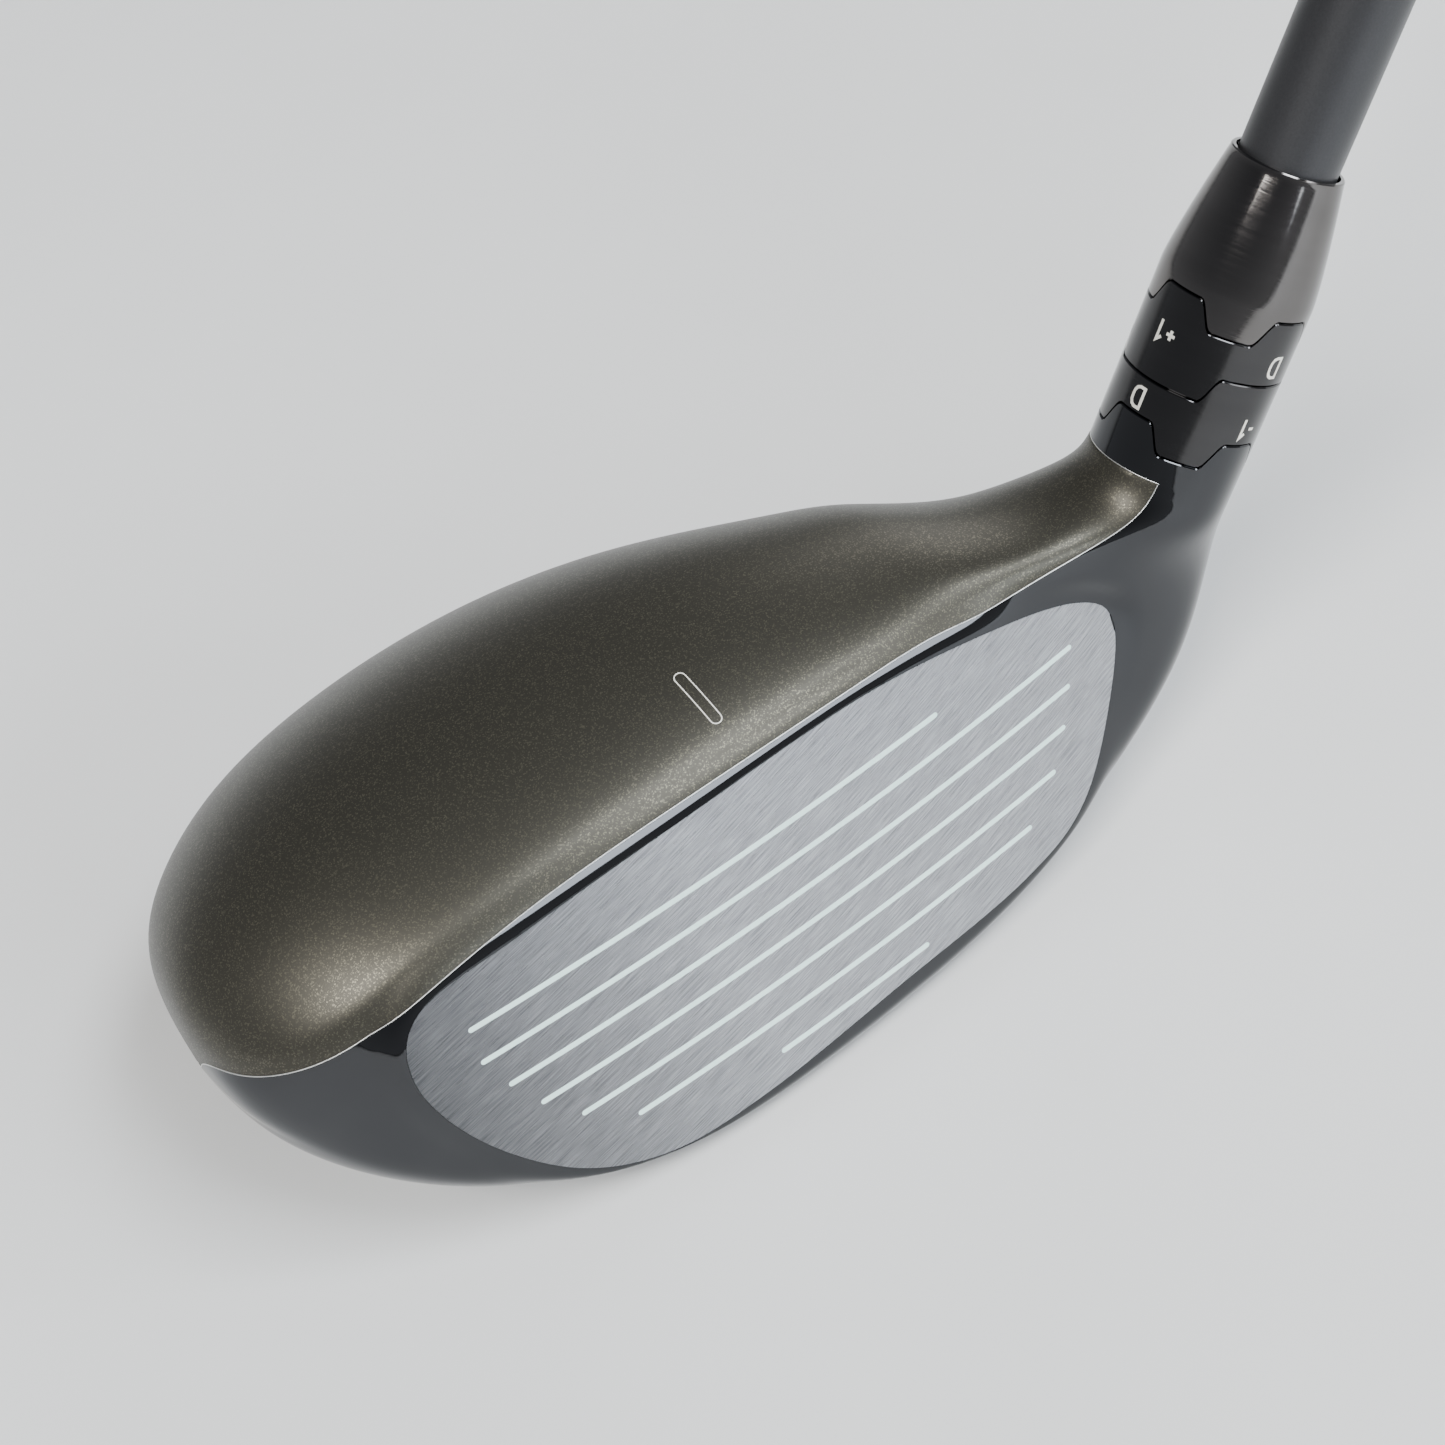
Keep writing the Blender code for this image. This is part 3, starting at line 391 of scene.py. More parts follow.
def smooth(mesh, angle=35.0):
    mesh.shade_smooth()
    mesh.set_sharp_from_angle(angle=math.radians(angle))


def keep_mesh(name, bm, angle=35.0):
    bmesh.ops.recalc_face_normals(bm, faces=bm.faces[:])
    mesh = bpy.data.meshes.new(name)
    bm.to_mesh(mesh)
    bm.free()
    obj = add_object(name, mesh)
    smooth(mesh, angle)
    return obj


def frozen_mesh(obj):
    """A mesh of what an object looks like with its modifiers and bevels."""
    graph = bpy.context.evaluated_depsgraph_get()
    graph.update()
    return bpy.data.meshes.new_from_object(obj.evaluated_get(graph))


LEAST_FACES_LEFT = 0.1                 # as a share; a Boolean that leaves fewer has collapsed


def cut(obj, tools, operation="DIFFERENCE"):
    faces_before = len(obj.data.polygons)
    for tool in tools:
        mod = obj.modifiers.new("cut", "BOOLEAN")
        mod.operation = operation
        mod.solver = "EXACT"
        mod.object = tool
    mesh = frozen_mesh(obj)
    obj.modifiers.clear()
    obj.data = mesh
    smooth(mesh)
    if len(obj.data.polygons) < LEAST_FACES_LEFT * faces_before:
        raise RuntimeError(obj.name + " has collapsed in a Boolean")
    for tool in tools:
        bpy.data.objects.remove(tool, do_unlink=True)
    return obj


def join_rows(bm, rows, marked=None):
    """Quads between closed rows of vertices; marked rows get the second material."""
    for index, (row, after) in enumerate(zip(rows, rows[1:])):
        count = len(row)
        for i in range(count):
            j = (i + 1) % count
            corners = []
            for v in (row[i], row[j], after[j], after[i]):
                if v not in corners:
                    corners.append(v)
            if len(corners) > 2:
                face = bm.faces.new(corners)
                if marked and index in marked:
                    face.material_index = 1


def lobed(radius, lobes, turn):
    return radius * (1.0 + lobes * math.cos(6 * turn))


def turned_row(bm, matrix, station, segments, radius_at):
    """A round row of vertices; radius_at gives the radius in mm at each turn."""
    row = []
    for k in range(segments):
        turn = 2 * math.pi * k / segments
        r = radius_at(turn) * MM
        place = Vector((r * math.cos(turn), r * math.sin(turn), station * MM))
        row.append(bm.verts.new(matrix @ place))
    return row


def revolve(name, profile, matrix, segments=96, angle=30.0):
    """Turn (radius, station) pairs, listed down the outer side; a third value adds six lobes."""
    bm = bmesh.new()
    rows = []
    for entry in profile:
        radius, station = entry[:2]
        lobes = entry[2] if len(entry) > 2 else 0.0
        if radius == 0:
            rows.append([bm.verts.new(matrix @ Vector((0, 0, station * MM)))] * segments)
        else:
            rows.append(turned_row(bm, matrix, station, segments,
                                   lambda turn: lobed(radius, lobes, turn)))
    if profile[0][0] > 0:
        rows.append(rows[0])
    join_rows(bm, rows)
    return keep_mesh(name, bm, angle)


def rounded(profile, size=0.25, steps=3):
    """The same profile with each corner turned into a small arc."""
    closed = profile[0][0] > 0
    count = len(profile)
    result = []
    for k, entry in enumerate(profile):
        here = Vector(entry[:2])
        if not closed and k in (0, count - 1):
            result.append(tuple(entry))
            continue
        before = Vector(profile[(k - 1) % count][:2]) - here
        after = Vector(profile[(k + 1) % count][:2]) - here
        if here.x == 0 or before.angle(after) > math.radians(165):
            result.append(tuple(entry))
            continue
        reach = min(size, before.length * 0.45, after.length * 0.45)
        first = here + before.normalized() * reach
        last = here + after.normalized() * reach
        for step in range(steps + 1):
            f = step / steps
            point = first * (1 - f) ** 2 + here * (2 * f * (1 - f)) + last * f * f
            result.append((point.x, point.y) + tuple(entry[2:]))
    return result


def plain_rows(name, rows):
    """A solid between closed rows of points, with flat ends."""
    bm = bmesh.new()
    rows = [[bm.verts.new(world(p)) for p in row] for row in rows]
    join_rows(bm, rows)
    bm.faces.new(rows[0])
    bm.faces.new(rows[-1])
    return keep_mesh(name, bm)


def sweep(name, path, normals, profile, taper):
    """Carry a closed profile of (across, deep) along a path; its ends round off over taper mm."""
    points = [np.array(p) for p in path]
    steps = [np.linalg.norm(b - a) for a, b in zip(points, points[1:])]
    lengths = np.concatenate([[0.0], np.cumsum(steps)])
    rows = []
    for k, point in enumerate(points):
        ahead = points[min(k + 1, len(points) - 1)] - points[max(k - 1, 0)]
        ahead /= np.linalg.norm(ahead)
        normal = np.array(normals[k])
        side = np.cross(ahead, normal)
        near_end = min(lengths[k], lengths[-1] - lengths[k])
        share = 1.0
        if near_end < taper:
            share = max(math.sqrt(1 - (1 - near_end / taper) ** 2), 0.12)
        rows.append([point + side * across * share - normal * deep * share
                     for across, deep in profile])
    return plain_rows(name, rows)


def sheet(name, pairs):
    """A plate with a thickness; pairs hold the same row of points on its front and on its back."""
    bm = bmesh.new()
    made = [[[bm.verts.new(world(p)) for p in row] for row in pair] for pair in pairs]
    join_rows(bm, [front + back[::-1] for front, back in made])
    for front, back in (made[0], made[-1]):
        for i in range(len(front) - 1):
            bm.faces.new((front[i], front[i + 1], back[i + 1], back[i]))
    return keep_mesh(name, bm)


# ---------------------------------------------------------------- toothed rings
def sharp_tooth(level, angle, gap):
    low, high = TOOTH_LEVELS[level]
    tip, root = TOOTH_HALF_ANGLES[level]
    period = 360.0 / TOOTH_COUNTS[level]
    off = abs((angle + period / 2) % period - period / 2)
    spread = math.degrees(gap / HOSEL_RADIUS) * 0.6
    share = (off - tip - spread) / (root - tip)
    return high - (high - low) * min(max(share, 0.0), 1.0) + gap


def tooth_height(level, angle, gap=0.0):
    """Height of a castellated edge, with its corners rounded."""
    shifts = (-1.0, -0.6, -0.2, 0.2, 0.6, 1.0)
    return sum(sharp_tooth(level, angle + TOOTH_ROUNDING * d, gap) for d in shifts) / len(shifts)


RING_STEPS = 240


def ring_place(radius, angle, station):
    """Local point of the shaft's frame; angle 0 is the face side, 90 the toe side."""
    turn = math.radians(angle)
    return Vector((-radius * math.sin(turn), -radius * math.cos(turn), station)) * MM


def toothed_ring(name, middle, bottom, top, inner):
    """A ring with chamfered ends; bottom and top are a tooth level with its gap, or a station.

    middle lists (radius, station) between the two ends, inner the hole from top to bottom."""
    def level(edge, angle):
        if isinstance(edge, tuple):
            return tooth_height(edge[0], angle, edge[1])
        return edge

    angles = [360.0 * k / RING_STEPS for k in range(RING_STEPS)]
    low_radius = middle[0][0] if middle else HOSEL_RADIUS
    high_radius = middle[-1][0] if middle else HOSEL_RADIUS
    loops = [[(low_radius - CHAMFER, level(bottom, a)) for a in angles],
             [(low_radius, level(bottom, a) + CHAMFER) for a in angles]]
    for radius, station in middle:
        loops.append([(radius, station)] * RING_STEPS)
    loops.append([(high_radius, level(top, a) - CHAMFER) for a in angles])
    loops.append([(high_radius - CHAMFER, level(top, a)) for a in angles])
    for radius, station in inner:
        loops.append([(radius, level(top, a) if station == "top" else
                       level(bottom, a) if station == "bottom" else station) for a in angles])
    bm = bmesh.new()
    rows = []
    for loop in loops:
        rows.append([bm.verts.new(SHAFT_FRAME @ ring_place(r, a, h)) for (r, h), a in zip(loop, angles)])
    rows.append(rows[0])
    last = 2 + len(middle)
    join_rows(bm, rows, marked=(0, last))
    return keep_mesh(name, bm, 30.0)


# ---------------------------------------------------------------- the head
def column_list():
    """Profile columns on the hosel, in profile units, as (value, inside the crown)."""
    values = [k * PROFILE_POINTS / RING_STEPS for k in range(RING_STEPS)]
    values = [v for v in values if min(abs(v - HOSEL_FRONT), abs(v - CROWN_REAR)) > 0.02]
    columns = [(v, HOSEL_FRONT < v < CROWN_REAR) for v in values]
    for edge in (HOSEL_FRONT, CROWN_REAR):
        columns += [(edge, False), (edge, True)]
    columns.sort(key=lambda c: (c[0], c[1] if c[0] == HOSEL_FRONT else not c[1]))
    return columns


def warp(value, front):
    """Profile parameter of a hosel column on a section whose crown starts at front."""
    if HOSEL_FRONT <= value <= CROWN_REAR:
        return front + (CROWN_REAR - front) * (value - HOSEL_FRONT) / (CROWN_REAR - HOSEL_FRONT)
    rest = (value - CROWN_REAR) % PROFILE_POINTS
    stretch = (front + PROFILE_POINTS - CROWN_REAR) * rest / (HOSEL_FRONT + PROFILE_POINTS - CROWN_REAR)
    return CROWN_REAR + stretch


def head_body():
    columns = column_list()
    values = [v for v, _ in columns]
    inside = np.array([flag for _, flag in columns])
    stations = [0.012, CROWN_FIRST, CROWN_FIRST] + list(np.linspace(0.06, 1.0, 14)) + \
        list(np.linspace(1.06, LOFT_END - 0.25, 120)) + [LOFT_END]
    bm = bmesh.new()
    rows = [[bm.verts.new(world(TOE_POLE))] * len(columns)]
    for index, s in enumerate(stations):
        front = crown_front(s)
        points, normals = surface(s, [warp(v, front) for v in values])
        if index > 1:
            points = points - normals * (inside * CROWN_DEPTH)[:, None]
        row = [world(p) for p in points]
        for p in row:
            p.z = max(p.z, 0.0)
        rows.append([bm.verts.new(p) for p in row])
    sunk = [HOSEL_RADIUS - CROWN_DEPTH * flag for flag in inside]
    angles = [profile_degrees(v) for v in values]
    edge = [tooth_height(0, a) for a in angles]
    hosel, chamfer, bore, paint, bottom = (
        [size] * len(values)
        for size in (HOSEL_RADIUS, HOSEL_RADIUS - CHAMFER, BORE_RADIUS, PAINT_RING, BORE_BOTTOM))
    below = [h - CHAMFER for h in edge]
    for radii, heights in ((sunk, paint), (hosel, paint), (hosel, below), (chamfer, edge),
                           (bore, edge), (bore, bottom)):
        row = [hosel_surface(r, math.radians(a), h) for r, a, h in zip(radii, angles, heights)]
        rows.append([bm.verts.new(world(p)) for p in row])
    join_rows(bm, rows)
    bm.faces.new(rows[-1])
    bmesh.ops.remove_doubles(bm, verts=bm.verts[:], dist=MERGE)
    body = keep_mesh("head_body_shell", bm)
    tools = [cavity(), crown_opening(), face_window(), *port_tools()]
    return cut(body, tools)


def hosel_boss(extra=0.0):
    """The column round the bore, which stays solid inside the head."""
    top, bottom, radius = 14, -26, TUBE_RADIUS + extra
    return revolve("boss", ((0, top), (radius, top), (radius, bottom), (0, bottom)), SHAFT_FRAME, 64)


def cavity():
    """The hollow of the head, a wall's thickness inside its surface."""
    rows = []
    for s in np.linspace(1.2, 8.6, 30):
        ring = section(s, [k * PROFILE_POINTS / 40 for k in range(40)])
        low, high = ring.min(axis=0), ring.max(axis=0)
        middle = (low + high) / 2
        height = math.hypot(high[0] - low[0], high[2] - low[2])
        shrink_up = 1 - 2 * WALL / height
        shrink = np.array((shrink_up, 1 - 2 * WALL / (high[1] - low[1]), shrink_up))
        rows.append(middle + (ring - middle) * shrink)
    hollow = plain_rows("cavity", rows)
    weight_boss = revolve("weight_boss", ((0, 7.6), (8.6, 7.6), (8.6, -8), (0, -8)), WEIGHT_FRAME, 64)
    return cut(hollow, [hosel_boss(), weight_boss])


def crown_opening():
    """The hole under the crown's skin; the skin rests on the ledge that is left round it."""
    rows = []
    for s in np.linspace(1.3, 7.0, 40):
        front = crown_front(s)
        ts = list(np.linspace(front + 0.45, CROWN_REAR - 0.45, 30))
        points, normals = surface(s, ts)
        upper = points - normals * (CROWN_DEPTH - 0.25)
        lower = points - normals * 3.4
        rows.append(list(upper) + list(lower[::-1]))
    return plain_rows("crown_opening", rows)


def outline_prism(name, gap, front, back):
    """A block with the face plate's outline, drawn in by gap."""
    rows = []
    for deep in (front, back):
        rows.append([Vector((x, up * LOFT_SIN, up * LOFT_COS)) + Vector(FACE_INWARD) * deep
                     for x, up in outline_points(gap, 10)])
    return plain_rows(name, rows)


def face_window():
    return cut(outline_prism("face_window", 0.0, -8.0, 6.2), [hosel_boss()])


def port_tools():
    inner = BORE_BOTTOM + 2
    screw = ((0, inner), (SCREW_HOLE, inner), (SCREW_HOLE, SCREW_SEAT), (SCREW_PORT, SCREW_SEAT),
             (SCREW_PORT, -30), (0, -30))
    weight = ((0, 6.0), (WEIGHT_HOLE, 6.0), (WEIGHT_HOLE, 0), (WEIGHT_RECESS, 0),
              (WEIGHT_RECESS, -9), (0, -9))
    return [revolve("screw_port", screw, SHAFT_FRAME, 72),
            revolve("weight_port", weight, WEIGHT_FRAME, 96)]


def skin_rows():
    """Rows of the crown's skin: which surface they are on, where, and how far they are lowered."""
    rows = [("loft", CROWN_FIRST + 0.01, SKIN_RIM), ("loft", CROWN_FIRST + 0.02, 0.0)]
    rows += [("loft", s, 0.0) for s in np.linspace(0.07, 1.0, 14)]
    rows += [("loft", s, 0.0) for s in np.linspace(1.06, LOFT_END - 0.02, 118)]
    top = PAINT_RING - SKIN_GAP
    return rows + [("hosel", top - SKIN_RIM, 0.0), ("hosel", top, SKIN_RIM)]


def units_per_mm(s, front):
    """Profile units that one mm spans at the skin's front and rear edge."""
    ring = section(s, [front, front + 0.01, CROWN_REAR - 0.01, CROWN_REAR])
    return [min(0.01 / max(np.linalg.norm(ring[k + 1] - ring[k]), 1e-6), 2.0) for k in (0, 2)]


def crown_skin():
    """Painted skin of the crown and neck, with a small lowered rim all round."""
    count = 110
    pairs = []
    for kind, value, deep in skin_rows():
        if kind == "loft":
            front = crown_front(value)
            unit_front, unit_rear = units_per_mm(value, front)
        else:
            front = HOSEL_FRONT
            unit_front = unit_rear = PROFILE_POINTS / (2 * math.pi * HOSEL_RADIUS)
        first, last = front + SKIN_GAP * unit_front, CROWN_REAR - SKIN_GAP * unit_rear
        flat = np.linspace(first + SKIN_RIM * unit_front, last - SKIN_RIM * unit_rear, count)
        ts = [first] + list(flat) + [last]
        drops = np.maximum(np.array([SKIN_RIM] + [0.0] * count + [SKIN_RIM]), deep)
        if kind == "loft":
            points, normals = surface(value, ts)
        else:
            turns = [math.radians(profile_degrees(t)) for t in ts]
            points = np.array([hosel_surface(HOSEL_RADIUS, turn, value) for turn in turns])
            normals = points - np.array([hosel_surface(0.0, 0.0, value)])
            normals /= np.linalg.norm(normals, axis=1)[:, None]
        pairs.append((points - normals * drops[:, None], points - normals * (CROWN_DEPTH - 0.03)))
    return sheet("crown_paint_skin", pairs)


def tube(name, points, radius):
    """A closed wire of round section through points in metres."""
    curve = bpy.data.curves.new(name, "CURVE")
    curve.dimensions = "3D"
    line = curve.splines.new("POLY")
    line.points.add(len(points) - 1)
    for point, place in zip(line.points, points):
        point.co = (*place, 1.0)
    line.use_cyclic_u = True
    curve.bevel_depth = radius * MM
    curve.bevel_resolution = 2
    wire = add_object(name, curve)
    mesh = frozen_mesh(wire)
    bpy.data.objects.remove(wire, do_unlink=True)
    bm = bmesh.new()
    bm.from_mesh(mesh)
    bmesh.ops.remove_doubles(bm, verts=bm.verts[:], dist=MERGE)
    return keep_mesh(name, bm, 60.0)


def crown_edge_line():
    """Fine bead of light bare metal that fills the seam round the painted skin; its light colour is also
    a painted highlight along the paint's edge.
    """
    deep = 0.03
    along = list(np.linspace(CROWN_FIRST, 1.0, 20)) + list(np.linspace(1.05, LOFT_END, 160))

    def on_loft(s, t):
        place, normal = surface(s, [t])
        return world(place[0] - normal[0] * deep)

    points = [on_loft(s, crown_front(s)) for s in along]
    for t in np.linspace(HOSEL_FRONT, CROWN_REAR, 60):
        turn = math.radians(profile_degrees(t))
        points.append(world(hosel_surface(HOSEL_RADIUS - deep, turn, PAINT_RING)))
    points += [on_loft(s, CROWN_REAR) for s in reversed(along)]
    return tube("crown_edge_line", points, 0.055)


# ---------------------------------------------------------------- the face
def groove_line(index):
    """Points along a groove's axis with the face's outward normals."""
    toe, heel = GROOVES[index]
    up = (3 - index) * GROOVE_SPACING
    ends = [0.02, 0.06, 0.12, 0.2, 0.3]
    xs = [toe] + [toe + e for e in ends] + list(np.linspace(toe + 1.0, heel - 1.0, 40))
    xs += [heel - e for e in reversed(ends)] + [heel]
    points = [face_point(x, up) for x in xs]
    upward = Vector((0, LOFT_SIN, LOFT_COS))
    normals = []
    for x in xs:
        outward = Vector((-x / FACE_RADIUS, 0, 0)) - Vector(FACE_INWARD)
        outward -= upward * (up / FACE_RADIUS)
        normals.append(tuple(outward.normalized()))
    return points, normals


def groove_cutter(index):
    turns = [math.pi * 2 * k / 20 for k in range(20)]
    profile = [(GROOVE_RADIUS * math.cos(a), GROOVE_RADIUS * math.sin(a)) for a in turns]
    return sweep("groove_cut", *groove_line(index), profile, GROOVE_RADIUS)


def groove_fill(index):
    """Paint that fills a groove to just below the face."""
    radius = GROOVE_RADIUS - 0.006
    low = math.asin(0.045 / radius)
    turns = [low + (math.pi - 2 * low) * k / 12 for k in range(13)]
    profile = [(radius * math.cos(a), radius * math.sin(a)) for a in turns]
    return sweep("groove_paint_%d" % (index + 1), *groove_line(index), profile, GROOVE_RADIUS)


def face_plate():
    """The curved steel plate, cut to its outline and grooved."""
    thickness = 2.6
    ups = np.linspace(-17.0, 20.0, 38)
    pairs = [[[face_point(x, up, deep) for up in ups] for deep in (0.0, thickness)]
             for x in np.linspace(-44.0, 44.0, 89)]
    plate = sheet("face_plate_brushed", pairs)
    cut(plate, [outline_prism("outline", 0.03, -8.0, 9.0)], "INTERSECT")
    return cut(plate, [hosel_boss(0.2)] + [groove_cutter(k) for k in range(len(GROOVES))])


# ---------------------------------------------------------------- marks
STROKE = 0.15
GLYPHS = {
    "1": [[(-0.20, 0.26), (0.04, 0.5), (0.04, -0.5)]],
    "+": [[(-0.24, 0.0), (0.24, 0.0)], [(0.0, 0.24), (0.0, -0.24)]],
    "-": [[(-0.16, 0.0), (0.16, 0.0)]],
    "D": [[(-0.28, -0.5), (-0.28, 0.5), (0.02, 0.5), (0.2, 0.41), (0.29, 0.24), (0.31, 0.0),
           (0.29, -0.24), (0.2, -0.41), (0.02, -0.5), (-0.28, -0.5)]],
}
GLYPH_WIDTH = {"1": 0.55, "+": 0.85, "-": 0.6, "D": 0.75}


def stroke_outline(points):
    """The two sides of a flat stroke along a polyline, as lists of points."""
    closed = points[0] == points[-1]
    line = [Vector(p) for p in (points[:-1] if closed else points)]
    count = len(line)
    left, right = [], []
    for k, point in enumerate(line):
        before = line[(k - 1) % count] if closed or k else None
        after = line[(k + 1) % count] if closed or k < count - 1 else None
        first = (point - before).normalized() if before is not None else (after - point).normalized()
        last = (after - point).normalized() if after is not None else first
        ahead = (first + last).normalized()
        reach = STROKE / 2 / max(ahead.dot(last), 0.4)
        side = Vector((-ahead.y, ahead.x)) * reach
        left.append(point + side)
        right.append(point - side)
    return left, right, closed


def dial_mark(name, text, size, angle, station, radius):
    """Plain dial lettering wrapped round a cog, its tops towards the head, a hair proud."""
    total = sum(GLYPH_WIDTH[c] for c in text)
    bm = bmesh.new()

    def spot(point, offset, lift):
        turn = angle + math.degrees((point.x + offset) * size / radius)
        return bm.verts.new(SHAFT_FRAME @ ring_place(radius + lift, turn, station - point.y * size))

    pen = -total / 2
    for glyph in text:
        offset = pen + GLYPH_WIDTH[glyph] / 2
        pen += GLYPH_WIDTH[glyph]
        for number, points in enumerate(GLYPHS[glyph]):
            left, right, closed = stroke_outline(points)
            proud = 0.025 + 0.004 * number
            loops = []
            for a, b in zip(left, right):
                loops.append([spot(a, offset, proud), spot(b, offset, proud),
                              spot(b, offset, -0.05), spot(a, offset, -0.05)])
            if closed:
                loops.append(loops[0])
            join_rows(bm, loops)
            if not closed:
                bm.faces.new(loops[0])
                bm.faces.new(loops[-1])
    return keep_mesh(name, bm, 40.0)


CROWN_MARK = (5.45, 7.4)               # loft and profile parameter of the mark's middle


def crown_mark():
    """Plain alignment line on the crown: the outline of a slim bar, raised by a hair."""
    s0, t0 = CROWN_MARK
    centre, normal = surface(s0, [t0])
    centre, normal = centre[0], normal[0]
    ahead = np.cross(normal, (1.0, 0.0, 0.0))
    ahead /= np.linalg.norm(ahead)
    side = np.cross(ahead, normal)
    half, radius = 2.6, 0.55
    outline = []
    for end in (1, -1):
        for k in range(13):
            turn = math.pi * ((end < 0) + k / 12)
            outline.append((radius * math.cos(turn), end * half + radius * math.sin(turn)))
        outline += [(-end * radius, end * half * (1 - k / 6)) for k in range(1, 12)]
    settled = [settle(centre + side * across + ahead * up, s0, t0) for across, up in outline]
    return tube("crown_alignment_line", settled, 0.075)


def settle(point, s, t):
    """The spot of the head's surface nearest to a point, in metres."""
    step = 0.5
    best = np.linalg.norm(section(s, [t])[0] - point)
    while step > 0.0005:
        moved = False
        for ds, dt in ((step, 0), (-step, 0), (0, step), (0, -step)):
            trial = np.linalg.norm(section(s + ds, [t + dt])[0] - point)
            if trial < best:
                s, t, best, moved = s + ds, t + dt, trial, True
        if not moved:
            step /= 2
    place, normal = surface(s, [t])
    return world(place[0] - normal[0] * 0.035)


# ---------------------------------------------------------------- shaft and grip
GRIP_MOUTH = BUTT - GRIP_LENGTH
TAPER_START = 90.0                     # station from which the shaft widens to the grip's mouth
GRIP_SEAM = 150.0                      # mm from the butt of the plain groove round the grip


def shaft_radius(station):
    share = min(max((station - TAPER_START) / (GRIP_MOUTH - TAPER_START), 0.0), 1.0)
    return SHAFT_TIP_RADIUS + (SHAFT_BUTT_RADIUS - SHAFT_TIP_RADIUS) * share


def shaft():
    tip, end, bend = SLEEVE_SHOULDER + 0.3, BUTT - 4.5, 315.0
    stations = [end] + list(np.linspace(GRIP_MOUTH, TAPER_START, 12)) + [tip + 0.4]
    outer = [(shaft_radius(a), a) for a in stations] + [(SHAFT_TIP_RADIUS - 0.4, tip)]
    inner = [(2.6, tip), (2.6, 60.0), (shaft_radius(bend) - 1.3, bend), (shaft_radius(end) - 1.0, end)]
    return revolve("shaft_tube", outer + inner, SHAFT_FRAME, 128)


def ferrule_radius(share):
    return HOSEL_RADIUS - (HOSEL_RADIUS - FERRULE_TOP_RADIUS) * share ** 1.25


def ferrule():
    start, end = TOOTH_LEVELS[2][1] + 0.8, FERRULE_TOP - 0.25
    middle = [(ferrule_radius(k / 24), start + (end - start) * k / 24) for k in range(24)]
    middle.append((FERRULE_TOP_RADIUS, end))
    step = SLEEVE_TOP + 0.4
    inner = [(4.99, FERRULE_TOP), (4.95, FERRULE_TOP - 0.1), (4.95, step), (BORE_RADIUS, step),
             (BORE_RADIUS, "bottom")]
    return toothed_ring("ferrule_collar", middle, (2, TOOTH_GAP), FERRULE_TOP, inner)


def grip_relief(turn, back):
    """How far a spot of the grip is sunk; back is the distance from the butt in mm."""
    if back < 16 or back > GRIP_LENGTH - 14:
        return 0.0
    if abs((back - GRIP_SEAM) / 1.1) < 1.0:
        return 0.35
    cells = 26 if back < GRIP_SEAM else 20
    row = back / 4.2
    column = turn / (2 * math.pi) * cells + 0.5 * (math.floor(row) % 2)
    u = abs(row - math.floor(row) - 0.5) * 2
    v = abs(column - math.floor(column) - 0.5) * 2
    return 0.32 if u + v < 0.72 else 0.0


def grip_outline():
    """Radius and distance from the butt of the grip's outside, from its end to its mouth."""
    bulge = [(CAP_RADIUS + 0.8, 0.3), (GRIP_BUTT_RADIUS + 0.6, 0.9), (GRIP_BUTT_RADIUS + 1.4, 3.0),
             (GRIP_BUTT_RADIUS + 0.9, 6.5), (GRIP_BUTT_RADIUS - 0.2, 12.0)]
    outline = [(radius, BUTT - back) for radius, back in bulge]
    for share in (0.2, 0.4, 0.6, 0.8, 0.93):
        radius = GRIP_BUTT_RADIUS - 0.3 + (GRIP_MOUTH_RADIUS + 0.3 - GRIP_BUTT_RADIUS) * share ** 0.8
        outline.append((radius, BUTT - 12.0 - (GRIP_LENGTH - 18.0) * share))
    return outline + [(GRIP_MOUTH_RADIUS + 0.1, GRIP_MOUTH + 6.0), (GRIP_MOUTH_RADIUS, GRIP_MOUTH + 1.0),
                      (GRIP_MOUTH_RADIUS - 0.8, GRIP_MOUTH)]


def grip():
    radii, stations = zip(*grip_outline())
    downward = [-a for a in stations]
    fine = [BUTT - back for back in (0.3, 0.5, 0.9, 1.8, 3.0, 4.5, 6.5, 9.0)]
    fine += list(np.linspace(BUTT - 12.0, GRIP_MOUTH + 6.0, 430))
    fine += [GRIP_MOUTH + 1.0, GRIP_MOUTH + 0.4, GRIP_MOUTH]
    inside = SHAFT_BUTT_RADIUS + 0.45
    recess = CAP_RADIUS + 0.3
    segments = 182
    bm = bmesh.new()
    rows = []
    for a in fine:
        radius = float(np.interp(-a, downward, radii))
        rows.append(turned_row(bm, SHAFT_FRAME, a, segments,
                               lambda turn: radius - grip_relief(turn, BUTT - a)))
    for radius, a in ((inside, GRIP_MOUTH), (inside, BUTT - 4.2), (recess, BUTT - 4.2),
                      (recess, BUTT - 0.5)):
        rows.append(turned_row(bm, SHAFT_FRAME, a, segments, lambda turn: radius))
    rows.append(rows[0])
    join_rows(bm, rows)
    return keep_mesh("grip_sleeve", bm, 50.0)


def grip_cap():
    profile = [(0, 2.6), (1.0, 2.6), (1.0, 0.35), (1.35, 0.0), (7.2, 0.0), (7.4, 0.35), (7.9, 0.35),
               (8.1, 0.0), (CAP_RADIUS - 0.5, 0.0), (CAP_RADIUS, 0.5), (CAP_RADIUS, 3.9), (0, 3.9)]
    profile = [(radius, BUTT - back) for radius, back in profile]
    return revolve("grip_cap_plug", rounded(profile, 0.15), SHAFT_FRAME, 120)


# ---------------------------------------------------------------- screws and small pieces
def thread(crest, root, top, pitch, fall, turns):
    """Zigzag side of a screw, which stands for its thread."""
    profile = []
    for k in range(turns):
        profile += [(crest, top - k * pitch), (root, top - k * pitch - fall)]
    return profile


def socket(points):
    """The same profile points with the six lobes of a screw's socket."""
    return [(radius, station, SOCKET_LOBES) for radius, station in points]


